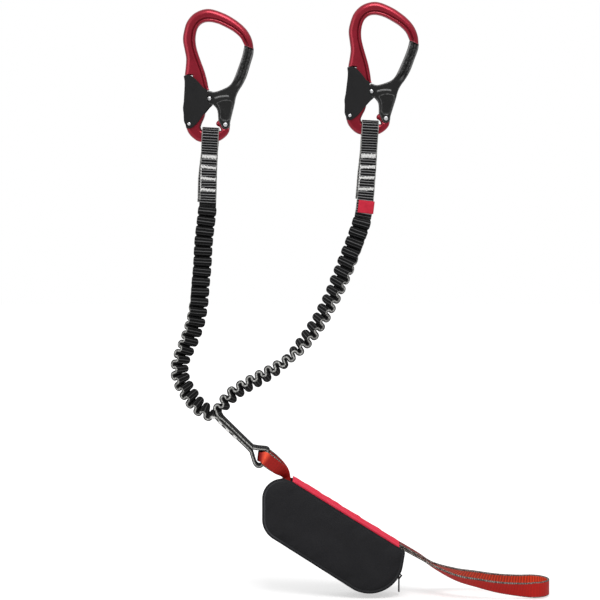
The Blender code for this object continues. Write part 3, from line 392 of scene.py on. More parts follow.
def woven_strip(name, sections, widths, roundness=0.42):
    """A closed strip of webbing with rounded edges. Each point keeps its length along the strip
    (counted faster where the webbing is gathered), its place across it, how much it belongs to the
    edge, the look of its section, which also carries painted shade in folds and a painted highlight
    on a crease, and which face it is on."""
    bm = bmesh.new()
    layers = [bm.verts.layers.float.new(mark) for mark in ("run", "across", "edge", "look", "face")]
    places = [section[0] for section in sections]
    run = 0
    rings = []
    for k, (place, width_way, thickness, look) in enumerate(sections):
        if k:
            run += (place - places[k - 1]).length * max(1.7 - 0.7 * look, 1)
        path = heading(places, k)
        across = (width_way - path * width_way.dot(path)).normalized()
        thick = across.cross(path)
        width = widths[k] if isinstance(widths, list) else widths
        edge = thickness * roundness
        ring = [(share * (width / 2 - edge), thickness / 2, 0) for share in (-1, -0.6, -0.2, 0.2, 0.6, 1)]
        for turn in (60, 30, 0, -30, -60):
            cosine, sine = math.cos(math.radians(turn)), math.sin(math.radians(turn))
            ring.append((width / 2 - edge + edge * cosine, thickness / 2 * sine, 1 - abs(sine)))
        ring += [(-a, -b, e) for a, b, e in ring]
        rings.append([marked_point(bm, place + across * a + thick * b,
                                   zip(layers, (run, a, e, look, 1 if b > 0 else -1))) for a, b, e in ring])
    skin(bm, rings)
    return from_bmesh(name, bm, 60)


def new_finish(name, roughness, metallic=0.0):
    """A material with its tree, its shader and the place that its patterns are read at."""
    made = bpy.data.materials.new(name)
    made.use_nodes = True
    tree = made.node_tree
    shader = tree.nodes["Principled BSDF"]
    wire(tree, shader, {"Roughness": roughness, "Metallic": metallic})
    return made, tree, shader, add(tree, "TexCoord", out="Object")


left_half = arm_sections("left", LEFT_ROUTE + LINK_ROUTE[:LINK_MIDDLE + 1])
right_half = arm_sections("right", RIGHT_ROUTE + LINK_ROUTE[:LINK_MIDDLE - 1:-1])
joined = left_half + right_half[-2::-1]
widths = []
for k, (place, _, thickness, _) in enumerate(joined):
    nearby = joined[max(k - SMOOTH_OVER, 0):k + SMOOTH_OVER + 1]
    middle = sum(section[0].y for section in nearby) / len(nearby)
    wider = 1.02 + BEND_SHARE * max(-1, min(1, (middle - place.y) / BEND_FRONT))
    widths.append(WEB_WIDTH * (1 if thickness < WEB_TAIL + 0.0001 else wider))
arms = woven_strip("arm_webbing_woven", joined, widths, 0.17)

# Woven polyester elastic: matt black with fine lines along it; pale cross ribs where it lies flat,
# fainter where it is gathered and hidden between the ripples' crests as painted shade in the folds;
# a speckled grey core line along each edge. The yarns' grain is drawn coarser than it is, so that it
# shows.
webbing, tree, shader, place = new_finish("woven polyester elastic webbing", 0.85)
run, across, edge, look = [add(tree, "Attribute", attribute_name=mark)
                           for mark in ("run", "across", "edge", "look")]
grain = add(tree, "TexNoise", {"Vector": place, "Scale": 1 / YARN_GRAIN, "Detail": 3})
cloud = add(tree, "TexNoise", {"Vector": place, "Scale": 1 / WEFT_DRIFT, "Detail": 2})
bent = add(tree, "Math", {0: cloud, 1: 1.3, 2: -0.65}, operation="MULTIPLY_ADD")
turns = add(tree, "Math", {0: run, 1: 2 * math.pi / RIB_PITCH, 2: bent}, operation="MULTIPLY_ADD")
wave = add(tree, "Math", {0: turns}, operation="SINE")
rib = add(tree, "MapRange", {"Value": wave, "From Min": 0.55}, interpolation_type="SMOOTHSTEP")
# The look hides the ribs between the ripples' crests: painted shade in the folds.
rib = add(tree, "Math", {0: rib, 1: look}, operation="MULTIPLY")
warp = add(tree, "Math", {0: across, 1: 2 * math.pi / WARP_PITCH}, operation="MULTIPLY")
warp = add(tree, "Math", {0: warp}, operation="SINE")
warp = add(tree, "MapRange", {"Value": warp, "From Min": -0.2, "To Max": 0.16})
plain = add(tree, "Mix", {"Factor": warp, "A": "#070708", "B": "#232324"}, data_type="RGBA")
ribbed = add(tree, "Mix", {"Factor": rib, "A": plain, "B": "#929293"}, data_type="RGBA")
speckle = add(tree, "MapRange", {"Value": grain, "From Min": 0.35, "From Max": 0.65})
yarn = add(tree, "Mix", {"Factor": speckle, "A": "#3c3c3b", "B": "#cacac6"}, data_type="RGBA")
core = add(tree, "MapRange", {"Value": edge, "From Min": 0.48, "From Max": 0.74},
           interpolation_type="SMOOTHSTEP")
beyond = add(tree, "Math", {0: across}, operation="ABSOLUTE")
brink = add(tree, "MapRange", {"Value": beyond, "From Min": WEB_WIDTH / 2 - CORE_LINE[0],
                               "From Max": WEB_WIDTH / 2 - CORE_LINE[1]})
flat = add(tree, "MapRange", {"Value": look, "From Min": 0.8, "To Max": 0.8})
brink = add(tree, "Math", {0: brink, 1: flat}, operation="MULTIPLY")
core = add(tree, "Math", {0: core, 1: brink}, operation="MAXIMUM")
tone = add(tree, "Mix", {"Factor": core, "A": ribbed, "B": yarn}, data_type="RGBA")
height = add(tree, "Math", {0: rib, 1: grain}, operation="ADD")
bump = add(tree, "Bump", {"Height": height, "Strength": 0.5, "Distance": 0.0003})
wire(tree, shader, {"Base Color": tone, "Specular IOR Level": 0.2, "Normal": bump})
dress(webbing, arms, "lanyard", "arm_webbing")

# Bar tacks
# Off-white bonded thread: four zigzag bar tacks through both layers of each arm, a running stitch
# beside them, and the stitches that join the two tails.

THREAD_RADIUS = 0.00034
TACK_WIDTH = 0.0134
TACK_STEP = 0.00068
TACK_LEAN = 0.0008
TACK_SCATTER = 0.0003
STITCHES = 9
STITCH_PAST = 0.002
STITCH_BESIDE = 0.0003
THREAD_SINK = 0.0001
THREAD_CROSSING = 0.00024
TAIL_STROKES = 5
TAIL_THREAD = 0.00045
# Half a stroke of thread over the tail: shares of the tail's width and heights off its face.
HALF_STROKE = [(-0.51, -0.0014), (-0.52, -0.0004), (-0.49, 0.0004), (-0.2, 0.0001)]
THREAD_FUZZ = 0.000625
TACK_ROWS = {"left": ((0.0184, 0.0044), (0.0287, 0.0027), (0.0394, 0.0026), (0.0498, 0.0027)),
             "right": ((0.0247, 0.0042), (0.0351, 0.0027), (0.0452, 0.0026), (0.0557, 0.0029))}


def thread(bm, points, radius, sides=6):
    """A closed tube of thread through the points, added to a bmesh."""
    turns = [2 * math.pi * j / sides for j in range(sides)]
    rings = []
    for k, point in enumerate(points):
        way = heading(points, k)
        first = way.orthogonal().normalized()
        second = way.cross(first)
        ring = [bm.verts.new(point + (first * math.cos(t) + second * math.sin(t)) * radius) for t in turns]
        if k:
            shift = min(range(sides), key=lambda s: sum((low.co - high.co).length for low, high
                                                        in zip(rings[-1], ring[s:] + ring[:s])))
            ring = ring[shift:] + ring[:shift]
        rings.append(ring)
    skin(bm, rings)


def mottled(name, roughness, metallic, patch, detail, dark, light):
    """A new finish whose colour drifts between two shades in patches of a size, with its noise and
    the tone that this gives."""
    made, tree, shader, place = new_finish(name, roughness, metallic)
    noise = add(tree, "TexNoise", {"Vector": place, "Scale": 1 / patch, "Detail": detail})
    tone = add(tree, "Mix", {"Factor": noise, "A": dark, "B": light}, data_type="RGBA")
    return made, tree, shader, place, noise, tone


# Bonded polyester: matt and off-white with a slight fuzz, which is drawn coarser than it is.
bonded, tree, shader, place, fuzz, tone = mottled("off-white bonded thread", 0.8, 0, THREAD_FUZZ, 2,
                                                  "#dcdbd8", "#ffffff")
bump = add(tree, "Bump", {"Height": fuzz, "Strength": 0.4, "Distance": 0.0001})
wire(tree, shader, {"Base Color": tone, "Normal": bump})

layer = (LAYER_GAP + WEB_FLAT) / 2
for side, points in (("left", LEFT_ROUTE), ("right", RIGHT_ROUTE)):
    route = Route(points)
    bm = bmesh.new()
    chance = random.Random(5)
    count = round(TACK_WIDTH / TACK_STEP)
    for middle, tall in TACK_ROWS[side]:
        strokes = []
        for k in range(count + 1):
            share = k / count - 0.5
            length = middle + (tall / 2 if k % 2 else -tall / 2) + share * TACK_LEAN
            length += chance.uniform(-1, 1) * TACK_SCATTER
            place, width_way, _, _ = strand(route, length, 0, WEB_FLAT, -layer, 1)
            lift = WEB_FLAT / 2 + (THREAD_SINK if k % 2 else THREAD_CROSSING)
            strokes.append(place + width_way * share * TACK_WIDTH - Vector((0, lift, 0)))
        for start, end in zip(strokes, strokes[1:]):
            thread(bm, [start, (start + end) / 2 - Vector((0, THREAD_SINK, 0)), end], THREAD_RADIUS)
    first, last = TACK_ROWS[side][1][0] - STITCH_PAST, TACK_ROWS[side][3][0] + STITCH_PAST
    for k in range(STITCHES):
        ends = []
        for share in (0.12, 0.5, 0.88):
            length = first + (last - first) * (k + share) / STITCHES
            place, width_way, _, _ = strand(route, length, 0, WEB_FLAT, -layer, 1)
            beside = width_way * (-1 if width_way.x > 0 else 1)
            ends.append(place + beside * (TACK_WIDTH / 2 + STITCH_BESIDE)
                        - Vector((0, WEB_FLAT / 2 + THREAD_SINK, 0)))
        thread(bm, ends, THREAD_RADIUS)
    dress(bonded, from_bmesh(side + "_bar_tacks", bm), "lanyard")

route = Route(LEFT_ROUTE + LINK_ROUTE[:LINK_MIDDLE + 1])
begin = SEWN_LENGTH["left"] + RIPPLE_COUNT["left"] * RIPPLE_PITCH["left"]
stroke = HALF_STROKE + [(-share, rise) for share, rise in HALF_STROKE[::-1]]
bm = bmesh.new()
for tack in TAIL_TACKS:
    for k in range(TAIL_STROKES):
        place, width_way, _, _ = strand(route, begin + tack + (k - 2) * TACK_LEAN, 0, WEB_TAIL, 0, 1)
        way = route.at(begin + tack)[1]
        under = Vector((way.y, 0, -way.x)).normalized()
        ends = [place + under * (WEB_TAIL / 2 + rise) + width_way * WEB_WIDTH * share
                for share, rise in stroke]
        thread(bm, ends, TAIL_THREAD)
dress(bonded, from_bmesh("tail_tacks", bm), "lanyard")

# Woven arm tag
# A small red damask label folded round the right-hand edge of the right arm and sewn down. Its
# face is left bare.

TAG_HEIGHT = 0.0118
TAG_THICKNESS = 0.0005
TAG_DROP = 0.0665
TAG_SHORT = 0.0020
TAG_LIFT = 0.0005
TAG_SWELL = 0.00018
TAG_ROUND = 0.0008
TAG_TUCK = 0.0002
TAG_COLUMNS = 8
TAG_MOTTLE = 0.00385
TAG_WEFT = 0.000349


def shaped(target, kind, **settings):
    """Add a modifier with its settings to a piece and apply it."""
    step = target.modifiers.new(kind.lower(), kind)
    for name, value in settings.items():
        setattr(step, name, value)
    bpy.ops.object.select_all(action="DESELECT")
    bpy.context.view_layer.objects.active = target
    bpy.ops.object.modifier_apply(modifier=step.name)


route = Route(RIGHT_ROUTE)
middle, width_way, _, _ = strand(route, TAG_DROP + TAG_HEIGHT / 2, 0, WEB_FLAT, -layer, 1)
way = upright(route.at(TAG_DROP + TAG_HEIGHT / 2)[1])
out = width_way.cross(way).normalized()
TAG_SIDE = 1 if width_way.x > 0 else -1
bm = bmesh.new()
rows = []
for step in range(13):
    share = step / 12 - 0.5
    lift = WEB_FLAT / 2 + TAG_SWELL * math.cos(math.pi * share) + TAG_LIFT
    edge = WEB_WIDTH / 2 - TAG_TUCK
    flat = [(-WEB_WIDTH / 2 + TAG_SHORT) * k / TAG_COLUMNS + edge * (TAG_COLUMNS - k) / TAG_COLUMNS
            for k in range(TAG_COLUMNS, 0, -1)]
    fold = [math.pi / 2 * (1 - k / 5) for k in range(11)]
    path = [(a, lift) for a in flat]
    path += [(edge + TAG_ROUND * math.cos(turn), lift * math.sin(turn)) for turn in fold]
    path += [(a, -lift) for a in flat[::-1]]
    ring = []
    for a, b in path:
        ring.append(bm.verts.new(middle + width_way * a * TAG_SIDE + out * b + way * TAG_HEIGHT * share))
    rows.append(ring)
for low, high in zip(rows, rows[1:]):
    for j in range(len(low) - 1):
        bm.faces.new((low[j], low[j + 1], high[j + 1], high[j]))
tag = from_bmesh("arm_tag_woven", bm)
shaped(tag, "SOLIDIFY", thickness=TAG_THICKNESS, offset=1)

# Woven damask: a slightly shiny, mottled red with a fine weft across it.
damask, tree, shader, place, cloud, tone = mottled("red woven damask", 0.75, 0, TAG_MOTTLE, 3,
                                                   "#b01c30", "#dc3048")
weft = add(tree, "TexWave", {"Vector": place, "Scale": math.pi / 10 / TAG_WEFT, "Distortion": 1.5,
                             "Detail": 1}, bands_direction="Z")
bump = add(tree, "Bump", {"Height": weft, "Strength": 0.35, "Distance": 0.0001})
wire(tree, shader, {"Base Color": tone, "Specular IOR Level": 0.2, "Sheen Weight": 0.05, "Normal": bump})
dress(damask, tag, "lanyard", "arm_tag")

# Forged frames
# Each carabiner's frame is one forging in aluminium, anodised red: a rounded back, a fine groove
# and a thinner rim round the basket, a thin tang for the gate's fork.

FRAME_LENGTH = 0.124
FRAME_WIDTH = 0.0665
FRAME_THICKNESS = 0.0108
BACK_ROUND = 0.0047
RIM_ROUND = 0.0015
RIM_HEIGHT = 0.0042
EDGE_ROUND = 0.0017
GROOVE_DEPTH = 0.0006
SHOULDER = (0.0030, 0.0046)
GROOVE = (0.0019, 0.0025, 0.0029, 0.0037)
HOLE_BEVEL = (0.0010, 0.0021)
CEILING_DROP = 0.0005
OVERRUN = 0.002
BAR_ROUND = 0.0032
HINGE = Vector((0.0149, 0.0109))
TANG_RADIUS = 0.0039
TANG_THICKNESS = 0.0058
HUB_RADIUS = 0.00415
FORK_GAP = 0.0064
FORK_RADIUS = 0.0096
FAN = (math.radians(96), math.radians(205))
PIN = Vector((-0.0006, 0.0349))
LOBE_RADIUS = 0.0040
LOBE = (math.radians(-96), math.radians(-215))
GATE_OPEN = math.radians(21)
LEVER_PIVOT = Vector((-0.0188, 0.0110))
LEVER_SQUEEZE = math.radians(7)
BACK_WALL = 0.0014
BACK_WALL_FOOT = 0.0150
RUNNING_GAP = 0.0005
ANODISE_DRIFT = 0.0143
FRAME_SCUFF = 0.00238
BAR_PLACES = {"left": (0.0006, -0.1061), "right": (0.1495, -0.0994)}
BAR_LEAN = {"left": math.radians(1.0), "right": math.radians(4.4)}
OUTER_SHARES = [(0.601, 0.658), (0.582, 0.716), (0.538, 0.770), (0.464, 0.821), (0.343, 0.872),
                (0.173, 0.921), (-0.038, 0.951), (-0.219, 0.922), (-0.335, 0.854), (-0.382, 0.768),
                (-0.389, 0.708), (-0.364, 0.641), (-0.343, 0.581), (-0.346, 0.522), (-0.358, 0.458)]
BOTTOM_SHARES = [(-0.327, 0.064), (-0.297, 0.024), (-0.236, -0.013), (-0.146, -0.042), (0.002, -0.049),
                 (0.134, -0.035), (0.217, -0.005), (0.266, 0.028), (0.282, 0.058)]
HOLE_RIGHT_SHARES = [(0.165, 0.122), (0.126, 0.120), (0.101, 0.108), (0.093, 0.094), (0.104, 0.080),
                     (0.142, 0.069), (0.163, 0.046), (0.136, 0.0415)]
HOLE_LEFT_SHARES = [(-0.106, 0.043), (-0.125, 0.068), (-0.109, 0.098), (-0.080, 0.134)]
INNER_SHARES = [(-0.024, 0.360), (-0.046, 0.416), (-0.082, 0.483), (-0.126, 0.546), (-0.173, 0.613),
                (-0.207, 0.676), (-0.215, 0.740), (-0.190, 0.803), (-0.127, 0.842), (-0.035, 0.855),
                (0.085, 0.845), (0.205, 0.818), (0.318, 0.785), (0.412, 0.741), (0.473, 0.682)]
GATE_OUTER_SHARES = [(0.6012, 0.6568), (0.594, 0.613), (0.558, 0.545), (0.511, 0.458), (0.457, 0.395),
                     (0.397, 0.342), (0.362, 0.296), (0.344, 0.244), (0.307, 0.158), (0.288, 0.113)]
GATE_ARCH_SHARES = [(0.161, 0.084), (0.127, 0.116), (0.119, 0.148), (0.113, 0.178), (0.097, 0.206),
                    (0.044, 0.237)]
GATE_INNER_SHARES = [(-0.024, 0.341), (0.010, 0.337), (0.052, 0.332), (0.108, 0.338), (0.178, 0.353),
                     (0.247, 0.372), (0.302, 0.401), (0.343, 0.446), (0.386, 0.510), (0.426, 0.574),
                     (0.453, 0.626), (0.4712, 0.6805)]
PANEL_SHARES = [(0.112, 0.246), (0.180, 0.263), (0.255, 0.265), (0.309, 0.252), (0.297, 0.195),
                (0.268, 0.133), (0.213, 0.119), (0.166, 0.136), (0.163, 0.178), (0.146, 0.215)]
BACK_TOP = Vector((-0.355, 0.409))
BACK_FOOT = Vector((-0.363, 0.163))


def on_frame(shares):
    """Places given as shares of the frame's width and length."""
    return [Vector((x * FRAME_WIDTH, z * FRAME_LENGTH)) for x, z in shares]


def arc(centre, radius, start, end, steps):
    """Points on an arc, both ends included."""
    turns = [start + (end - start) * step / steps for step in range(steps + 1)]
    return [Vector((centre[0] + radius * math.cos(turn), centre[1] + radius * math.sin(turn)))
            for turn in turns]


def polar(point, centre):
    """Distance and direction of a point from a centre."""
    away = point - centre
    return away.length, math.atan2(away.y, away.x)


def turn_about(point, centre, angle):
    """A point turned counter-clockwise about a centre."""
    return centre + Matrix.Rotation(angle, 2) @ (point - centre)


def lock_pocket():
    """The way that the frame leaves for the gate's branch, from the small hole to the basket."""
    pin_reach, pin_turn = polar(PIN, HINGE)
    inner = polar(on_frame(GATE_ARCH_SHARES)[-1], HINGE)[0] - RUNNING_GAP
    outer = polar(on_frame(GATE_INNER_SHARES)[0], HINGE)[0] + RUNNING_GAP
    lobe_end = arc(PIN, LOBE_RADIUS, LOBE[1], LOBE[1], 1)[0]
    spare = RUNNING_GAP / pin_reach
    end = pin_turn + GATE_OPEN + math.asin(LOBE_RADIUS / pin_reach) + spare
    step = polar(lobe_end, HINGE)[1] + GATE_OPEN + spare
    corner = arc(HINGE, inner, end, end, 1)[:1]
    return (corner + arc(HINGE, pin_reach + LOBE_RADIUS + RUNNING_GAP, end, step, 8)
            + arc(HINGE, outer, step, polar(on_frame(INNER_SHARES)[0], HINGE)[1], 14))


def evenly(points, spacing):
    """The closed outline with points added so that none lie further apart than the spacing."""
    filled = []
    for start, end in zip(points, points[1:] + points[:1]):
        count = max(1, math.ceil((end - start).length / spacing))
        filled += [start.lerp(end, k / count) for k in range(count)]
    return filled


def distance(points, line, closed=False):
    """Distance of each point from a run of points."""
    line = np.array([tuple(p) for p in line])
    if closed:
        line = np.vstack([line, line[:1]])
    least = np.full(len(points), 1e9)
    for start, end in zip(line, line[1:]):
        span = end - start
        size = span @ span
        if size < 1e-14:
            continue
        share = np.clip((points - start) @ span / size, 0, 1)
        least = np.minimum(least, np.hypot(*(points - start - share[:, None] * span).T))
    return least


def inside(points, outline):
    """Whether each point lies inside a closed outline."""
    found = np.zeros(len(points), bool)
    for start, end in zip(outline, outline[1:] + outline[:1]):
        crosses = (start.y > points[:, 1]) != (end.y > points[:, 1])
        if crosses.any():
            at = (end.x - start.x) * (points[:, 1] - start.y) / (end.y - start.y) + start.x
            found ^= crosses & (points[:, 0] < at)
    return found


def corners_of(outline):
    """Each point of a closed outline with the ones before and after it."""
    return zip(outline[-1:] + outline[:-1], outline, outline[1:] + outline[:1])


def relief(name, outline, pitch, rows, front, back, crest_and_shade=None):
    """A closed form over an outline. Its front and back depths come from functions of place and of
    distance from the rim, and the points near the rim lie in rows. One more function marks places for
    the finish: raised lines on a gate, painted shade on a frame."""
    area = sum(a.x * b.y - b.x * a.y for a, b in zip(outline, outline[1:] + outline[:1]))
    outline = list(outline) if area > 0 else list(reversed(outline))
    loose = []
    least = []
    for row in rows:
        for before, point, after in corners_of(outline):
            along = (after - before).normalized()
            loose.append((point.x - along.y * row, point.y + along.x * row))
            least.append(row * 0.93)
    low = np.min([tuple(p) for p in outline], axis=0)
    high = np.max([tuple(p) for p in outline], axis=0)
    for k, z in enumerate(np.arange(low[1], high[1], pitch * 0.866)):
        for x in np.arange(low[0] + (k % 2) * pitch / 2, high[0], pitch):
            loose.append((x, z))
            least.append(rows[-1] + pitch * 0.5)
    loose = np.array(loose)
    kept = loose[(distance(loose, outline, True) >= np.array(least)) & inside(loose, outline)]
    seen = set()
    chosen = []
    for x, z in kept:
        cell = (round(x / (rows[0] * 0.8)), round(z / (rows[0] * 0.8)))
        if cell not in seen:
            seen.add(cell)
            chosen.append(Vector((x, z)))
    count = len(outline)
    rim = [(k, (k + 1) % count) for k in range(count)]
    flat, _, faces, _, _, _ = delaunay_2d_cdt(outline + chosen, rim, [], 1, 1e-8, False)
    places = np.array([tuple(p) for p in flat])
    middles = np.array([places[list(face)].mean(axis=0) for face in faces])
    faces = [face for face, kept_in in zip(faces, inside(middles, outline)) if kept_in]
    far = distance(places, outline, True)
    bm = bmesh.new()
    layers = [bm.verts.layers.float.new(mark) for mark in ("rim", "crest_and_shade")]
    raised = crest_and_shade(places) if crest_and_shade else far * 0
    sheets = [[marked_point(bm, (x, y, z), zip(layers, marks)) for (x, z), y, *marks in
               zip(places, depths, far, raised)] for depths in (front(places, far), back(places, far))]
    uses = {}
    for face in faces:
        bm.faces.new([sheets[0][k] for k in face])
        bm.faces.new([sheets[1][k] for k in reversed(face)])
        for a, b in zip(face, face[1:] + face[:1]):
            key = (min(a, b), max(a, b))
            uses[key] = None if key in uses else (a, b)
    for pair in uses.values():
        if pair:
            a, b = pair
            bm.faces.new((sheets[0][b], sheets[0][a], sheets[1][a], sheets[1][b]))
    return from_bmesh(name, bm)


def rounded(far, radius, half):
    """Half depth at a distance from a rim that is rounded by a radius."""
    near = np.clip(far, 0, radius)
    return half - radius + np.sqrt(np.maximum(radius ** 2 - (radius - near) ** 2, 0))


def step_up(value, start, end):
    """A smooth rise from nothing to one between two values."""
    share = np.clip((value - start) / (end - start), 0, 1)
    return share * share * (3 - 2 * share)


def band(value, rise, full, fall, end):
    """One between two values, with a smooth rise before them and fall after."""
    return step_up(value, rise, full) * (1 - step_up(value, fall, end))


def cut(target, centre, profile, sides=48, sweep=None):
    """Cut a turned form, or a sector of one, out of the target. The profile is depths and radius."""
    low, high, radius = profile
    start, end = sweep or (0, 2 * math.pi)
    ring = arc(centre, radius, start, end, sides)
    ring = ring[:-1] if not sweep else [Vector(centre)] + ring
    bm = bmesh.new()
    skin(bm, [[bm.verts.new((p.x, y, p.y)) for p in ring] for y in (low, high)])
    tool = from_bmesh("cutter", bm)
    shaped(target, "BOOLEAN", operation="DIFFERENCE", object=tool, solver="EXACT")
    bpy.data.objects.remove(tool)


def placed(source, name, side):
    """A copy of a carabiner's piece, with its own mesh, where that carabiner hangs."""
    made = new_object(name, source.data.copy())
    bar_x, bar_z = BAR_PLACES[side]
    made.data.transform(Matrix.Translation((bar_x, 0, bar_z)) @ Matrix.Rotation(BAR_LEAN[side], 4, "Y"))
    return made


half = FRAME_THICKNESS / 2
ceiling = OUTER_SHARES[-1][1] * FRAME_LENGTH - CEILING_DROP
wall_top = turn_about(Vector((BACK_TOP.x * FRAME_WIDTH + BACK_WALL, ceiling)), LEVER_PIVOT, -LEVER_SQUEEZE)
wall_foot = turn_about(Vector((BACK_FOOT.x * FRAME_WIDTH + BACK_WALL, BACK_WALL_FOOT)), LEVER_PIVOT,
                       -LEVER_SQUEEZE)
outer_run = through(on_frame(OUTER_SHARES), 8)
bottom_run = through(on_frame(BOTTOM_SHARES), 8)
inner_run = through(on_frame(INNER_SHARES), 8)
hole_run = through(on_frame(HOLE_LEFT_SHARES), 6)
frame_line = (outer_run + [Vector((outer_run[-1].x, ceiling)), Vector((wall_top.x + RUNNING_GAP, ceiling)),
                           Vector((wall_foot.x + RUNNING_GAP, wall_foot.y))]
              + bottom_run + arc(HINGE, TANG_RADIUS, math.radians(-10), math.radians(95), 16)
              + through(on_frame(HOLE_RIGHT_SHARES), 6) + hole_run
              + lock_pocket() + inner_run)


def frame_depth(points, far):
    """Half depth of the forging: round back, groove and thinner rim by the basket, round bar."""
    back = rounded(distance(points, outer_run), BACK_ROUND, half)
    bar = np.clip(2 - 2 * points[:, 1] / FRAME_THICKNESS, 0, 1)
    beside = np.clip(3.2 - 4 * (points[:, 0] - 0.0009) / WEB_WIDTH, 0, 1)
    far = distance(points, frame_line)
    rim = rounded(far, EDGE_ROUND, half) * (1 - bar * beside) + rounded(far, BAR_ROUND, half) * bar * beside
    within = distance(points, inner_run)
    basket = rounded(within, RIM_ROUND, RIM_HEIGHT) - GROOVE_DEPTH * step_up(within, 0.0020, SHOULDER[0])
    basket = basket + (half + GROOVE_DEPTH - RIM_HEIGHT) * step_up(within, *SHOULDER)
    return np.minimum(np.minimum(back, rim), basket)


def frame_shade(points):
    """How much painted shade a place takes: in the groove round the basket and on the bevel of
    the small hole.
    """
    within = distance(points, inner_run)
    bevel = 1 - step_up(distance(points, hole_run), *HOLE_BEVEL)
    return np.maximum(band(within, *GROOVE), bevel)


forging = relief("forging", evenly(frame_line, 0.0004), 0.0008,
                 (0.00018, 0.0005, 0.001, 0.0016, 0.0021, 0.0026, *np.arange(0.0030, 0.0047, 0.0004), 0.0051),
                 lambda p, far: -frame_depth(p, far), frame_depth, frame_shade)
for sign in (-1, 1):
    near, past = sorted((sign * TANG_THICKNESS / 2, sign * (half + OVERRUN)))
    cut(forging, HINGE, (near, past, HUB_RADIUS + RUNNING_GAP))
    cut(forging, HINGE, (near, past, FORK_RADIUS + OVERRUN), 24, FAN)

# Anodised aluminium: a deep red with a satin gloss that drifts a little, painted shade in the groove
# and on the small hole's bevel, and worn paler along the edges in fine scuffs.
red, tree, shader, place, cloud, tone = mottled("red anodised aluminium", 0.36, 0.7, ANODISE_DRIFT, 5,
                                                "#8c0d20", "#ac1b36")
rim, crest_and_shade = [add(tree, "Attribute", attribute_name=mark) for mark in ("rim", "crest_and_shade")]
# Painted shade in the groove and on the hole's bevel, mixed towards a near-black red.
shade = add(tree, "MapRange", {"Value": crest_and_shade, "To Max": 0.6})
tone = add(tree, "Mix", {"Factor": shade, "A": tone, "B": "#45050f"}, data_type="RGBA")
scuff = add(tree, "TexNoise", {"Vector": place, "Scale": 1 / FRAME_SCUFF, "Detail": 6, "Roughness": 0.7})
edge = add(tree, "MapRange", {"Value": rim, "From Max": 0.0009, "To Min": 0.5, "To Max": 0.0})
worn = add(tree, "Math", {0: scuff, 1: edge}, operation="ADD")
worn = add(tree, "MapRange", {"Value": worn, "From Min": 0.72, "From Max": 1.05})
outer = add(tree, "MapRange", {"Value": rim, "From Min": 0.00002, "From Max": 0.0001})
worn = add(tree, "Math", {0: worn, 1: outer}, operation="MULTIPLY")
tone = add(tree, "Mix", {"Factor": worn, "A": tone, "B": "#d98e96"}, data_type="RGBA")
gloss = add(tree, "MapRange", {"Value": cloud, "To Min": 0.27, "To Max": 0.42})
bump = add(tree, "Bump", {"Height": scuff, "Strength": 0.08, "Distance": 0.0002})
wire(tree, shader, {"Base Color": tone, "Roughness": gloss, "Coat Weight": 0.4, "Coat Roughness": 0.25,
                    "Normal": bump})
for side in ("left", "right"):
    made = placed(forging, side + "_forged_frame", side)
    dress(red, made, side + "_carabiner", side + "_frame")
bpy.data.objects.remove(forging)

# Gates
# Each gate is a forging in aluminium, anodised dark grey: a forked hub on the frame's tang, a sunk
# panel, a raised rib and a slim arm up to the nose with a shallow channel down its middle.

GATE_ROUND = 0.0014
PANEL_DEPTH = 0.0007
RIB_RADIUS = 0.0256
RIB_WIDTH = 0.0014
RIB_HEIGHT = 0.0003
RIB_SWEEP = (math.radians(84), math.radians(113))
HEAD_ROOM = 0.0024
COUNTERBORE = 0.0010
CHANNEL_DEPTH = 0.0018
PANEL_BEAD = (-0.0011, -0.0007, -0.0004, 0.0)
GATE_DRIFT = 0.0111
GATE_SCUFF = 0.00192

gate_line = (through(on_frame(GATE_OUTER_SHARES), 6)
             + arc(HINGE, HUB_RADIUS, math.radians(15), math.radians(-165), 24)
             + through(on_frame(GATE_ARCH_SHARES), 6) + arc(PIN, LOBE_RADIUS, *LOBE, 20)
             + through(on_frame(GATE_INNER_SHARES), 6))
panel_line = through(on_frame(PANEL_SHARES + PANEL_SHARES[:1]), 6)[:-1]


def within_panel(points):
    """How far each point lies inside the gate's panel, less than nothing outside it."""
    return distance(points, panel_line, True) * np.where(inside(points, panel_line), 1, -1)


def gate_crest(points):
    """Where the gate's raised lines run: round its panel, the arc rib above it, and up its arm."""
    away = points - np.array(HINGE)
    turn = np.arctan2(away[:, 1], away[:, 0])
    rib = band(np.hypot(*away.T) - RIB_RADIUS, -0.0002, 0.0004, RIB_WIDTH - 0.0002, RIB_WIDTH + 0.0004)
    rib = np.where((turn > RIB_SWEEP[0]) & (turn < RIB_SWEEP[1]), rib, 0)
    far = distance(points, gate_line)
    lines = np.maximum(band(within_panel(points), *PANEL_BEAD) * 0.6, rib) * step_up(far, 0.0006, 0.0014)
    arm = step_up(points[:, 1], 0.39 * FRAME_LENGTH, 0.46 * FRAME_LENGTH)
    lines = np.maximum(lines, arm * (0.55 - 0.33 * step_up(far, 0.0014, 0.0022)))
    seam = 1 - step_up(distance(points, [gate_line[-1], gate_line[0]]), 0.0003, 0.0016)
    return np.where(seam > 0, -seam, lines)


def gate_depth(points, far):
    """Half depth of the gate with its panel, rib, channel and the seat for the lock pin's head."""
    far = distance(points, gate_line)
    depth = rounded(far, GATE_ROUND, half) + RIB_HEIGHT * gate_crest(points)
    depth = depth - PANEL_DEPTH * step_up(within_panel(points), -0.0001, 0.0006)
    arm = step_up(points[:, 1], 0.37 * FRAME_LENGTH, 0.43 * FRAME_LENGTH)
    outer = distance(points, gate_line[:len(GATE_OUTER_SHARES) * 6])
    channel = arm * step_up(far, 0.0014, 0.0026) * (1 - step_up(outer, 0.0046, 0.0056))
    depth = depth - CHANNEL_DEPTH * channel
    beyond = np.hypot(*(points - np.array(PIN)).T)
    return depth - COUNTERBORE * (1 - step_up(beyond, HEAD_ROOM, HEAD_ROOM + 0.0002))


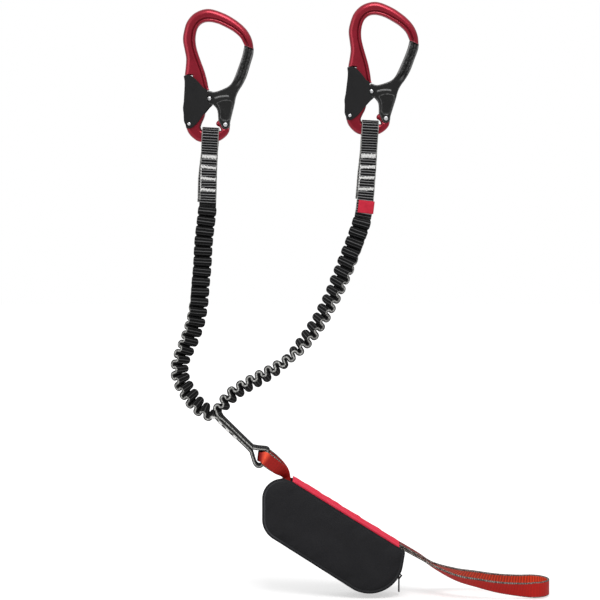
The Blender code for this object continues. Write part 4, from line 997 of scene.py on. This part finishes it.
swing = relief("gate_form", evenly(gate_line, 0.0007), 0.0006, (0.00015, 0.0004, 0.0008, 0.0013),
               lambda p, far: -gate_depth(p, far), gate_depth, gate_crest)
cut(swing, HINGE, (-FORK_GAP / 2, FORK_GAP / 2, FORK_RADIUS))
cut(swing, PIN, (-FORK_GAP / 2, FORK_GAP / 2, LOBE_RADIUS + OVERRUN))

# Anodised aluminium: dark grey and satin, worn to bare metal in scuffs along its edges and its
# raised lines.
grey, tree, shader, place, cloud, tone = mottled("dark grey anodised aluminium", 0.45, 0.6, GATE_DRIFT, 5,
                                                 "#1f1f1f", "#2b2b2b")
rim, crest_and_shade = [add(tree, "Attribute", attribute_name=mark) for mark in ("rim", "crest_and_shade")]
scuff = add(tree, "TexNoise", {"Vector": place, "Scale": 1 / GATE_SCUFF, "Detail": 6, "Roughness": 0.7})
edge = add(tree, "MapRange", {"Value": rim, "From Min": 0.0002, "From Max": 0.0013, "To Min": 0.5,
                              "To Max": 0.0})
edge = add(tree, "Math", {0: crest_and_shade, 1: 0.55, 2: edge}, operation="MULTIPLY_ADD")
worn = add(tree, "Math", {0: scuff, 1: edge}, operation="ADD")
worn = add(tree, "MapRange", {"Value": worn, "From Min": 0.6, "From Max": 1.1})
tone = add(tree, "Mix", {"Factor": worn, "A": tone, "B": "#868686"}, data_type="RGBA")
bump = add(tree, "Bump", {"Height": scuff, "Strength": 0.1, "Distance": 0.0002})
wire(tree, shader, {"Base Color": tone, "Normal": bump})
for side in ("left", "right"):
    dress(grey, placed(swing, side + "_forged_gate", side), side + "_gate_body", side + "_gate")
bpy.data.objects.remove(swing)

# Palm levers
# Each lever is a plate folded over the frame's spine and powder coated matt black. It turns on its
# own rivet and is pressed by the palm to free the gate.

COAT_DRIFT = 0.0091
COAT_GRAIN = 0.00091

# Powder coat: near black, matt and finely pebbled, a little duller in patches. The pebbles are
# drawn coarser than they are, so that they show.
coat, tree, shader, place, cloud, tone = mottled("matt black powder coat", 0.6, 0, COAT_DRIFT, 4,
                                                 "#121213", "#1d1d1e")
grain = add(tree, "TexNoise", {"Vector": place, "Scale": 1 / COAT_GRAIN, "Detail": 4})
rough = add(tree, "MapRange", {"Value": cloud, "To Min": 0.5, "To Max": 0.72})
bump = add(tree, "Bump", {"Height": grain, "Strength": 0.35, "Distance": 0.0002})
wire(tree, shader, {"Base Color": tone, "Roughness": rough, "Specular IOR Level": 0.25, "Normal": bump})
for side in ("left", "right"):
    lever = bpy.data.objects[side + "_palm_lever"]
    lever.data.materials.clear()
    lever.data.materials.append(coat)

# Rivets
# Stainless rivets with low domed heads, set from both faces: the gate's hinge, the lever's pivot
# and the lock pin in the gate's branch.

LEVER_PLATE = 0.0013
PROUD = 0.0003
RIVETS = {"gate_hinge_rivet": (HINGE, 0.00135, 0.0019, half + PROUD, "_carabiner"),
          "lever_pivot_rivet": (LEVER_PIVOT, 0.0010, 0.0015, half + RUNNING_GAP + LEVER_PLATE + PROUD,
                                "_carabiner"),
          "lock_pin": (PIN, 0.00135, 0.0019, half - COUNTERBORE + PROUD, "_gate_body")}
HEAD_HEIGHT = 0.0006
RIVET_SIDES = 28
STEEL_SCUFF = 0.00111

# Stainless steel: bright and lightly scuffed, so that it gleams softly all over its dome.
steel, tree, shader, place, scuff, tone = mottled("polished stainless steel", 0.4, 1.0, STEEL_SCUFF, 4,
                                                  "#d0d1d3", "#f4f4f5")
rough = add(tree, "MapRange", {"Value": scuff, "To Min": 0.36, "To Max": 0.52})
wire(tree, shader, {"Base Color": tone, "Roughness": rough})
for name, (centre, shank, head, seat, body) in RIVETS.items():
    profile = [(0, shank), (seat, shank), (seat, head * 0.97), (seat + 0.00008, head)]
    profile += [(seat + HEAD_HEIGHT * (0.25 + 0.75 * math.sin(math.pi / 12 * k)),
                 max(head * math.cos(math.pi / 12 * k), 0.00012)) for k in range(7)]
    profile = [(-depth, radius) for depth, radius in reversed(profile[1:])] + profile[1:]
    bm = bmesh.new()
    skin(bm, [[bm.verts.new((p.x, depth, p.y)) for p in arc(centre, radius, 0, 2 * math.pi, RIVET_SIDES)[:-1]]
              for depth, radius in profile])
    rivet = from_bmesh("rivet", bm)
    for side in ("left", "right"):
        dress(steel, placed(rivet, side + "_domed_" + name, side), side + body, side + "_" + name)
    bpy.data.objects.remove(rivet)

# Red link
# Red polyester webbing folded double round the tails' loop, pinched narrow at its fold and tucked
# into the pouch through the gap at the band's end. Its selvedges are grey.

RED_WIDTH = 0.0150
RED_THICKNESS = 0.0016
RED_RIB_PITCH = 0.0027
RED_GRAIN = 0.001
RED_DRIFT = 0.00625
SELVEDGE = 0.0012
LINK_STEPS = 18
LINK_SPREAD = 0.0097
LINK_NECK = 0.0011
LINK_FOLD = (0.0458, -0.4072, 6, 0.00, 0.60)
RED_ROUTE = [(0.0522, -0.4078, 26, 1.00, 0.94), (0.0588, -0.4130, 34, 1.00, 0.92),
             (0.0656, -0.4184, 38, 0.84, 0.80), (0.0704, -0.4228, 48, 0.42, 0.62),
             (0.0724, -0.4273, 70, 0.02, 0.50), (0.0729, -0.4321, 84, 0.00, 0.48)]

rows = []
start = np.array(LINK_FOLD)
first = np.array(RED_ROUTE[0])
for step in range(LINK_STEPS):
    turn = math.pi / 2 * step / LINK_STEPS
    opened = 1 - math.cos(turn)
    row = start + (first - start) * opened ** 3
    row[0] = start[0] + (first[0] - start[0]) * opened
    row[3] = math.sin(turn)
    rows.append(row)
rows += [np.array(row) for row in through(RED_ROUTE, 7)]
near_and_far = [(row, -1) for row in rows[::-1]] + [(row, 1) for row in rows[1:]]
places = []
for (x, z, _, share, _), sign in near_and_far:
    spread = LINK_NECK + (LINK_SPREAD - LINK_NECK) * max(share, 0)
    places.append(Vector((x, sign * spread, z)))
places[len(rows) - 1].y = 0
sections = []
for (row, sign), place in zip(near_and_far, places):
    lean = math.radians(row[2])
    # The look paints a highlight along the near layer's crease, and shade over the layers next to the fold.
    crease = (row[0] - start[0]) / (first[0] - start[0])
    painted_crease_highlight = math.exp(-((crease - 0.95) / 0.28) ** 2) if sign < 0 else 0
    painted_fold_shade = 0.75 * max(1 - max(crease, 0) / 0.6, 0)
    sections.append((place, Vector((math.sin(lean), 0, math.cos(lean))), RED_THICKNESS, 1 + painted_crease_highlight - painted_fold_shade))
link = woven_strip("connecting_loop_woven", sections, [RED_WIDTH * row[4] for row, _ in near_and_far])


def ribbed_webbing(name, dull, bright, selvedge, half_width, rib_depth):
    """Woven polyester webbing: satin red with soft cross ribs, one face brighter than the other, and
    grey speckled selvedges. A look above one paints a highlight along a crease, and a look below one
    paints shade far into a fold. Its grain is drawn coarser than it is, so that it shows."""
    made, tree, shader, place = new_finish(name, 0.55)
    run, across, face, look = [add(tree, "Attribute", attribute_name=mark)
                               for mark in ("run", "across", "face", "look")]
    grain = add(tree, "TexNoise", {"Vector": place, "Scale": 1 / RED_GRAIN, "Detail": 3})
    cloud = add(tree, "TexNoise", {"Vector": place, "Scale": 1 / RED_DRIFT, "Detail": 3})
    turns = add(tree, "Math", {0: run, 1: 2 * math.pi / RED_RIB_PITCH, 2: cloud}, operation="MULTIPLY_ADD")
    wave = add(tree, "Math", {0: turns}, operation="SINE")
    rib = add(tree, "MapRange", {"Value": wave, "From Min": -0.5, "From Max": 0.9},
              interpolation_type="SMOOTHSTEP")
    side = add(tree, "MapRange", {"Value": face, "From Min": -0.5, "From Max": 0.5})
    body = add(tree, "Mix", {"Factor": side, "A": dull, "B": bright}, data_type="RGBA")
    # A look above one mixes in the crease's painted highlight colour.
    crease = add(tree, "Math", {0: look, 1: 1.0}, operation="SUBTRACT", use_clamp=True)
    body = add(tree, "Mix", {"Factor": crease, "A": body, "B": "#ff5a3c"}, data_type="RGBA")
    least = add(tree, "Mix", {"Factor": side, "A": 1 - rib_depth, "B": 0.94})
    shade = add(tree, "MapRange", {"Value": rib, "To Min": least, "To Max": 1.04})
    # A look below one darkens the webbing: painted shade.
    painted_shade_factor = add(tree, "MapRange", {"Value": look, "To Min": 0.1})
    mottle = add(tree, "MapRange", {"Value": grain, "To Min": 0.8, "To Max": 1.2})
    for darker in (painted_shade_factor, mottle):
        shade = add(tree, "Math", {0: shade, 1: darker}, operation="MULTIPLY")
    body = add(tree, "VectorMath", {0: body, "Scale": shade}, operation="SCALE")
    beyond = add(tree, "Math", {0: across}, operation="ABSOLUTE")
    rim = add(tree, "MapRange", {"Value": beyond, "From Min": half_width - SELVEDGE,
                                 "From Max": half_width - SELVEDGE + 0.0003})
    dots = add(tree, "Math", {0: turns, 1: 1.5}, operation="MULTIPLY")
    dots = add(tree, "Math", {0: dots}, operation="SINE")
    dots = add(tree, "MapRange", {"Value": dots, "From Min": -0.6, "From Max": 0.4})
    patch = add(tree, "MapRange", {"Value": grain, "From Min": 0.42, "From Max": 0.58})
    dots = add(tree, "Math", {0: dots, 1: patch}, operation="MULTIPLY")
    yarn = add(tree, "Mix", {"Factor": dots, "A": "#332f2d", "B": selvedge}, data_type="RGBA")
    tone = add(tree, "Mix", {"Factor": rim, "A": body, "B": yarn}, data_type="RGBA")
    rough = add(tree, "MapRange", {"Value": grain, "To Min": 0.42, "To Max": 0.62})
    proud = add(tree, "Mix", {"Factor": side, "A": rib_depth * 2, "B": 0.16})
    height = add(tree, "Math", {0: rib, 1: proud, 2: grain}, operation="MULTIPLY_ADD")
    bump = add(tree, "Bump", {"Height": height, "Strength": 0.6, "Distance": 0.0003})
    wire(tree, shader, {"Base Color": tone, "Roughness": rough, "Specular IOR Level": 0.25, "Normal": bump})
    return made


link_finish = ribbed_webbing("red link webbing", "#a01812", "#a01812", "#b8b2aa", RED_WIDTH * 0.46, 0.08)
dress(link_finish, link, "lanyard", "connecting_loop")

# Folded absorber
# The tear webbing that takes up a fall: red webbing folded to and fro in eight layers inside the
# pouch, under its top band.

ABSORBER_LAYERS = 8
ABSORBER_SHARE = 0.2226
ABSORBER_LENGTH = 0.084
ABSORBER_PITCH = 0.0026
ABSORBER_THICKNESS = 0.0018
ABSORBER_GAP = 0.0003
POUCH_CORNERS = [(0.0496, -0.4112), (0.1843, -0.4953), (0.1743, -0.5568), (0.0495, -0.4769)]
POUCH_RADII = [0.0190, 0.0020, 0.0318, 0.0216]
PINCHED_RADIUS = 0.0240
BAND_THICKNESS = 0.0014
BAND_INSET = 0.0010
TOP_BULGE = 0.0008

corners = [Vector(corner) for corner in POUCH_CORNERS]
along = (corners[1] - corners[0]).normalized()
down = Vector((along.y, -along.x))
first = (corners[0] + (corners[1] - corners[0]) * ABSORBER_SHARE
         + down * (BAND_THICKNESS - TOP_BULGE + ABSORBER_GAP + ABSORBER_THICKNESS / 2))
tilt = math.atan2(along.y, along.x)
points = []
for fold in range(ABSORBER_LAYERS):
    left = first + down * fold * ABSORBER_PITCH
    right = left + along * ABSORBER_LENGTH
    ends = (left, right) if fold % 2 == 0 else (right, left)
    points += [ends[0].lerp(ends[1], k / 20) for k in range(21)]
    if fold < ABSORBER_LAYERS - 1:
        start, end = (90, -90) if fold % 2 == 0 else (90, 270)
        points += arc(ends[1] + down * ABSORBER_PITCH / 2, ABSORBER_PITCH / 2, math.radians(start) + tilt,
                      math.radians(end) + tilt, 10)[1:-1]
sections = [(upright(p), Vector((0, 1, 0)), ABSORBER_THICKNESS, 1) for p in points]
folded = woven_strip("absorber_webbing_woven", sections, RED_WIDTH)
dress(link_finish, folded, "lanyard", "absorber_webbing")

# Pouch panels
# Front and back of the pouch: black softshell cloth, cut as a rounded parallelogram, each with its
# edge turned in and topstitched, and crowned by the webbing packed inside.

PANEL_CLOTH = 0.0016
PANEL_RIM = 0.0166
PANEL_CROWN = 0.0026
PANEL_FLAT = 0.0030
SEAM_INSET = 0.0033
SEAM_DEPTH = 0.0005
SEAM_WIDTH = 0.0006
EDGE_FALL = 0.0009
STITCH_INSET = 0.0024
CLOTH_DRIFT = 0.0182
CLOTH_KNIT = 0.00077
CLOTH_CELL = 0.00091


def rounded_corners(corners, radii, steps):
    """A closed outline with each corner rounded by its own radius."""
    outline = []
    points = [Vector(corner) for corner in corners]
    for (before, corner, after), radius in zip(corners_of(points), radii):
        first = (before - corner).normalized()
        second = (after - corner).normalized()
        half_turn = first.angle(second) / 2
        centre = corner + (first + second).normalized() * radius / math.sin(half_turn)
        start = corner + first * radius / math.tan(half_turn) - centre
        end = corner + second * radius / math.tan(half_turn) - centre
        from_turn = math.atan2(start.y, start.x)
        turn = (math.atan2(end.y, end.x) - from_turn + math.pi) % (2 * math.pi) - math.pi
        outline += arc(centre, radius, from_turn, from_turn + turn, steps)
    return outline


def moved_in(outline, amounts):
    """A clockwise outline moved inwards by an amount at each of its points."""
    moved = []
    for (before, point, after), amount in zip(corners_of(outline), amounts):
        way = (after - before).normalized()
        moved.append(point + Vector((way.y, -way.x)) * amount)
    return moved


def ripple(value, *waves):
    """A sum of slow waves, each given by its length, its offset and its size."""
    return sum(size * np.sin(2 * math.pi * value / length + offset) for length, offset, size in waves)


def panel_depth(points, far):
    """Depth of a panel's outer face: a flat stitched rim, then a crowned middle with soft folds."""
    crown = 1 - (1 - np.clip((far - PANEL_FLAT) / 0.016, 0, 1)) ** 2.2
    seam = SEAM_DEPTH * np.exp(-((far - SEAM_INSET) / SEAM_WIDTH) ** 2)
    edge = EDGE_FALL * (1 - np.sqrt(np.clip(far / 0.0012, 0, 1)))
    folds = ripple(points @ np.array(along + 0.35 * down), (0.031, 1.0, 0.00022), (0.017, 2.1, 0.00014),
                   (0.0093, 0.4, 0.00008))
    near = np.exp(-((far - 0.006) / 0.005) ** 2)
    return PANEL_RIM + PANEL_CROWN * crown - seam - edge + folds * near * 2


# Softshell: matt black cloth with a fine knitted face, pale lint in it, and a greyer line along the
# topstitched seam inside the edge, a painted highlight that is full at the left end and fainter to the
# right. The knit is drawn coarser than it is.
softshell, tree, shader, place, cloud, tone = mottled("black softshell cloth", 0.9, 0, CLOTH_DRIFT, 5,
                                                      "#202022", "#2c2c2e")
knit = add(tree, "TexNoise", {"Vector": place, "Scale": 1 / CLOTH_KNIT, "Detail": 2})
cell = add(tree, "TexVoronoi", {"Vector": place, "Scale": 1 / CLOTH_CELL})
lint = add(tree, "MapRange", {"Value": knit, "From Min": 0.62, "From Max": 0.8, "To Max": 0.5})
tone = add(tree, "Mix", {"Factor": lint, "A": tone, "B": "#37373a"}, data_type="RGBA")
rim = add(tree, "Attribute", attribute_name="rim")
# A painted highlight along the topstitched seam, full at the left end and fainter to the right.
beside = add(tree, "Math", {0: rim, 1: STITCH_INSET}, operation="SUBTRACT")
beside = add(tree, "Math", {0: beside}, operation="ABSOLUTE")
line = add(tree, "MapRange", {"Value": beside, "From Min": 0.0003, "From Max": 0.0009, "To Min": 0.5,
                              "To Max": 0.0})
right = add(tree, "SeparateXYZ", {0: place}, out="X")
seam_highlight_fade = add(tree, "MapRange", {"Value": right, "From Min": 0.062, "From Max": 0.072, "To Min": 1.0,
                                "To Max": 0.25})
line = add(tree, "Math", {0: line, 1: seam_highlight_fade}, operation="MULTIPLY")
tone = add(tree, "Mix", {"Factor": line, "A": tone, "B": "#58585c"}, data_type="RGBA")
height = add(tree, "Math", {0: cell, 1: knit}, operation="ADD")
bump = add(tree, "Bump", {"Height": height, "Strength": 0.45, "Distance": 0.0003})
wire(tree, shader, {"Base Color": tone, "Specular IOR Level": 0.15, "Normal": bump})

for name, side, radius in (("front", -1, POUCH_RADII[0]), ("back", 1, PINCHED_RADIUS)):
    outline = evenly(rounded_corners(POUCH_CORNERS, [radius] + POUCH_RADII[1:], 24), 0.0011)
    if side < 0:
        runs = np.array([tuple(p) for p in outline]) @ np.array(along)
        high = np.array([(p - corners[0]).dot(down) for p in outline])
        amounts = (0.0003 + ripple(runs, (0.019, 0.3, 0.0002), (0.0083, 1.7, 0.00015))) * (high < 0.0015)
        outline = moved_in(outline, amounts)
    cloth = relief("panel_" + name, outline, 0.0015, (0.00025, 0.0007, 0.0013, 0.0021, 0.003, 0.004),
                   lambda p, far: side * panel_depth(p, far),
                   lambda p, far: side * (panel_depth(p, far)
                                          - PANEL_CLOTH * np.clip(0.35 + far / 0.002, 0, 1)))
    dress(softshell, cloth, "lanyard", "pouch_" + name)

# Pouch bands
# The gusset between the panels: a bright red band along the top, slack with small folds, and a
# black one round the other sides that holds the zip.

CORNER_STEPS = 24
TOP_BAND_SHARES = (0.246, 0.965)
SIDE_BAND_SHARES = (0.020, 0.915)
BAND_STEP = 0.0016
BAND_LANES = 33
BAND_HALF = 0.0163
BAND_DRIFT = 0.0111
BAND_WEAVE = 0.000714


def pouch_run(inwards, first_radius):
    """The pouch's outline moved inwards, clockwise from the top of its left end."""
    outline = rounded_corners(POUCH_CORNERS, [first_radius] + POUCH_RADII[1:], CORNER_STEPS)
    return moved_in(outline, [inwards] * len(outline))


def part_of(outline, shares, spacing):
    """Evenly spaced points on an open run between two shares of its length."""
    lengths = np.concatenate([[0], np.cumsum([(b - a).length for a, b in zip(outline, outline[1:])])])
    low, high = (share * lengths[-1] for share in shares)
    count = math.ceil((high - low) / spacing)
    wanted = np.linspace(low, high, count + 1)
    xs = np.interp(wanted, lengths, [p.x for p in outline])
    zs = np.interp(wanted, lengths, [p.y for p in outline])
    return [Vector(pair) for pair in zip(xs, zs)]


def gusset(name, points, bulge):
    """A closed band across the pouch. Its bulge is how far out it lies at a length and a place
    across, and its edges are thinned where they are sewn in."""
    bm = bmesh.new()
    rim = bm.verts.layers.float.new("rim")
    lanes = np.linspace(-1, 1, BAND_LANES)
    rings = []
    run = 0
    for k, point in enumerate(points):
        run += (point - points[k - 1]).length if k else 0
        way = heading(points, k)
        outward = Vector((-way.y, way.x))
        end = min(k, len(points) - 1 - k, 3) / 3
        ring = []
        for lift, order in ((1, lanes), (-1, lanes[::-1])):
            for share in order:
                inwards = 1 - abs(share)
                thin = BAND_THICKNESS / 2 * (0.45 + 0.55 * min(inwards / 0.08, 1)) * (0.5 + 0.5 * end)
                spot = upright(point + outward * (bulge(run, share) + lift * thin), share * BAND_HALF)
                ring.append(marked_point(bm, spot, [(rim, inwards * BAND_HALF)]))
        rings.append(ring)
    skin(bm, rings)
    return from_bmesh(name, bm)


def top_slack(run, share):
    """The red band's swell, with folds that run mostly along it."""
    swell = 0.0009 * (1 - share ** 2) * min(run / 0.012, 1)
    folds = ripple(run + share * 0.006, (0.023, 0.5, 0.0004), (0.011, 1.9, 0.00022), (0.0063, 0.2, 0.0001))
    return swell + folds * (1 - share ** 4) + 0.00035 * math.sin(9 * share + 40 * run) * (1 - share ** 2)


def side_slack(run, share):
    """The black band's slight swell."""
    return 0.0006 * (1 - share ** 2) + 0.00012 * math.sin(7 * share + 90 * run) * (1 - share ** 2)


outline = pouch_run(BAND_THICKNESS / 2 - TOP_BULGE, POUCH_RADII[0])
top_points = part_of(outline[:CORNER_STEPS + 2], TOP_BAND_SHARES, BAND_STEP)
top_band = gusset("pouch_top_band_cloth", top_points, top_slack)
outline = pouch_run(BAND_INSET + BAND_THICKNESS / 2, PINCHED_RADIUS)
side_points = part_of(outline[CORNER_STEPS + 1:] + outline[:CORNER_STEPS + 1], SIDE_BAND_SHARES, BAND_STEP)
side_band = gusset("pouch_side_band_cloth", side_points, side_slack)

# Woven polyester cloth: a bright warm red, mottled, with a darker line where each edge is sewn in.
# Its weave is drawn coarser than it is, so that it shows.
satin, tree, shader, place, cloud, tone = mottled("bright red band cloth", 0.75, 0, BAND_DRIFT, 4,
                                                  "#f01c3a", "#ff4866")
weave = add(tree, "TexNoise", {"Vector": place, "Scale": 1 / BAND_WEAVE, "Detail": 2})
seam = add(tree, "MapRange", {"Value": add(tree, "Attribute", attribute_name="rim"), "From Min": 0.0008,
                              "From Max": 0.0022, "To Min": 0.6, "To Max": 0.0})
tone = add(tree, "Mix", {"Factor": seam, "A": tone, "B": "#a0182c"}, data_type="RGBA")
bump = add(tree, "Bump", {"Height": weave, "Strength": 0.3, "Distance": 0.0002})
wire(tree, shader, {"Base Color": tone, "Specular IOR Level": 0.15, "Sheen Weight": 0.04, "Normal": bump})
dress(satin, top_band, "lanyard", "pouch_top_band")
dress(softshell, side_band, "lanyard", "pouch_side_band")

# Zip
# A black coil zip sewn on the gusset: two tapes with a row of interlocked nylon teeth, a die-cast
# slider at the round corner and a black pull that hangs from its bridge.

CHAIN_WIDTH = 0.0046
CHAIN_THICKNESS = 0.0013
CHAIN_SHARES = (0.03, 0.74)
CHAIN_RISE = 0.0002
TOOTH_PITCH = 0.0012
TOOTH_SIDEWAYS = 0.00035
SLIDER_BEVEL = 0.00022
COIL_MOTTLE = 0.002
ZIP_MOTTLE = 0.00143

outline = pouch_run(BAND_INSET + CHAIN_RISE - CHAIN_THICKNESS / 2, PINCHED_RADIUS)
chain = part_of(outline[CORNER_STEPS + 1:] + outline[:CORNER_STEPS + 1], CHAIN_SHARES, TOOTH_PITCH)
bm = bmesh.new()
tape_rings = []
for k, point in enumerate(chain):
    way = heading(chain, k)
    outward = Vector((-way.y, way.x))
    tape_rings.append([bm.verts.new(upright(point + outward * lift * CHAIN_THICKNESS, side * CHAIN_WIDTH / 2))
                       for side, lift in ((-1, -0.5), (-1, -0.2), (1, -0.2), (1, -0.5))])
    sideways = TOOTH_SIDEWAYS if k % 2 else -TOOTH_SIDEWAYS
    tooth = []
    for lift, size in ((-0.2, 0.42), (0.3, 0.42), (0.5, 0.26)):
        middle = point + outward * lift * CHAIN_THICKNESS
        half_width = CHAIN_WIDTH * 0.33 * (size + 0.6)
        tooth.append([bm.verts.new(upright(middle + way * a * TOOTH_PITCH * size, sideways + b * half_width))
                      for a, b in ((-1, -1), (1, -1), (1, 1), (-1, 1))])
    skin(bm, tooth)
skin(bm, tape_rings)
teeth = from_bmesh("zip_chain_coil", bm)

# Moulded nylon: black with a low gloss, greyer in small patches.
nylon, tree, shader, place, cloud, tone = mottled("black nylon coil", 0.42, 0, COIL_MOTTLE, 4,
                                                  "#121213", "#2a2a2c")
bump = add(tree, "Bump", {"Height": cloud, "Strength": 0.3, "Distance": 0.0002})
wire(tree, shader, {"Base Color": tone, "Normal": bump})
dress(nylon, teeth, "lanyard", "zip_chain")

# Blackened die-cast zinc: near black, with a dull metal gleam on its edges.
blackened, tree, shader, place, scuff, tone = mottled("blackened zip metal", 0.45, 0.7, ZIP_MOTTLE, 5,
                                                      "#0e0e0f", "#1e1e20")
wire(tree, shader, {"Base Color": tone})
for node, body, finish, slot in (("zip_slider", "slider", blackened, "zip_metal"),
                                 ("zip_pull", "pull", nylon, "zip_black")):
    copied = new_object(node + "_rounded", bpy.data.objects[node].data.copy())
    bm = bmesh.new()
    bm.from_mesh(copied.data)
    bmesh.ops.remove_doubles(bm, verts=bm.verts, dist=0.00001)
    bmesh.ops.dissolve_limit(bm, angle_limit=math.radians(2), verts=bm.verts, edges=bm.edges)
    bmesh.ops.recalc_face_normals(bm, faces=bm.faces)
    bm.to_mesh(copied.data)
    bm.free()
    shaped(copied, "BEVEL", width=SLIDER_BEVEL, segments=3, limit_method="ANGLE",
           angle_limit=math.radians(35))
    copied.data.shade_smooth()
    copied.data.set_sharp_from_angle(angle=math.radians(40))
    dress(finish, copied, body, node)

# Harness loop
# The red webbing loop that is girth hitched to the climber's harness: both layers leave the pouch
# flat together, then turn upright and open. Its selvedges are grey.

LOOP_THICKNESS = 0.0018
LOOP_SPREAD = 0.0370
LOOP_SHADE = (0.200, 0.016)
LOOP_ROUTE = [(0.1792, -0.4920, 90, 0.00), (0.1866, -0.4963, 90, 0.00), (0.1990, -0.5035, 86, 0.06),
              (0.2130, -0.5122, 74, 0.28), (0.2327, -0.5205, 60, 0.80), (0.2525, -0.5250, 48, 0.96),
              (0.2722, -0.5290, 36, 1.00), (0.2920, -0.5312, 22, 0.98), (0.3035, -0.5318, 8, 0.94)]

sides = {-1: [], 1: []}
rows = through(LOOP_ROUTE, 14)
for row in rows:
    lift = (LOOP_THICKNESS + LAYER_GAP) / 2 * (1 - row.w)
    for sign, run_of in sides.items():
        run_of.append((Vector((row.x, sign * LOOP_SPREAD * row.w / 2, row.y + sign * lift)), row.z))
radius = LOOP_SPREAD * rows[-1].w / 2
end = [(Vector((rows[-1].x + radius * math.cos(turn), radius * math.sin(turn), rows[-1].y)), 0)
       for turn in (-math.pi / 2 + math.pi * step / 40 for step in range(1, 40))]
path = sides[-1] + end + sides[1][::-1]
sections = []
for k, (place, lean) in enumerate(path):
    turn = math.radians(lean)
    # Near the pouch the far layer's look falls, which darkens it: painted shade.
    look = 1 if k < len(path) / 2 else 0.4 + 0.6 * clamp((place.x - LOOP_SHADE[0]) / LOOP_SHADE[1])
    sections.append((place, Vector((0, math.sin(turn), -math.cos(turn))), LOOP_THICKNESS, look))
loop = woven_strip("harness_loop_woven", sections, RED_WIDTH)
loop_finish = ribbed_webbing("red loop webbing", "#f04a28", "#be1c14", "#c0b8b0", RED_WIDTH / 2, 0.4)
dress(loop_finish, loop, "lanyard", "harness_loop")
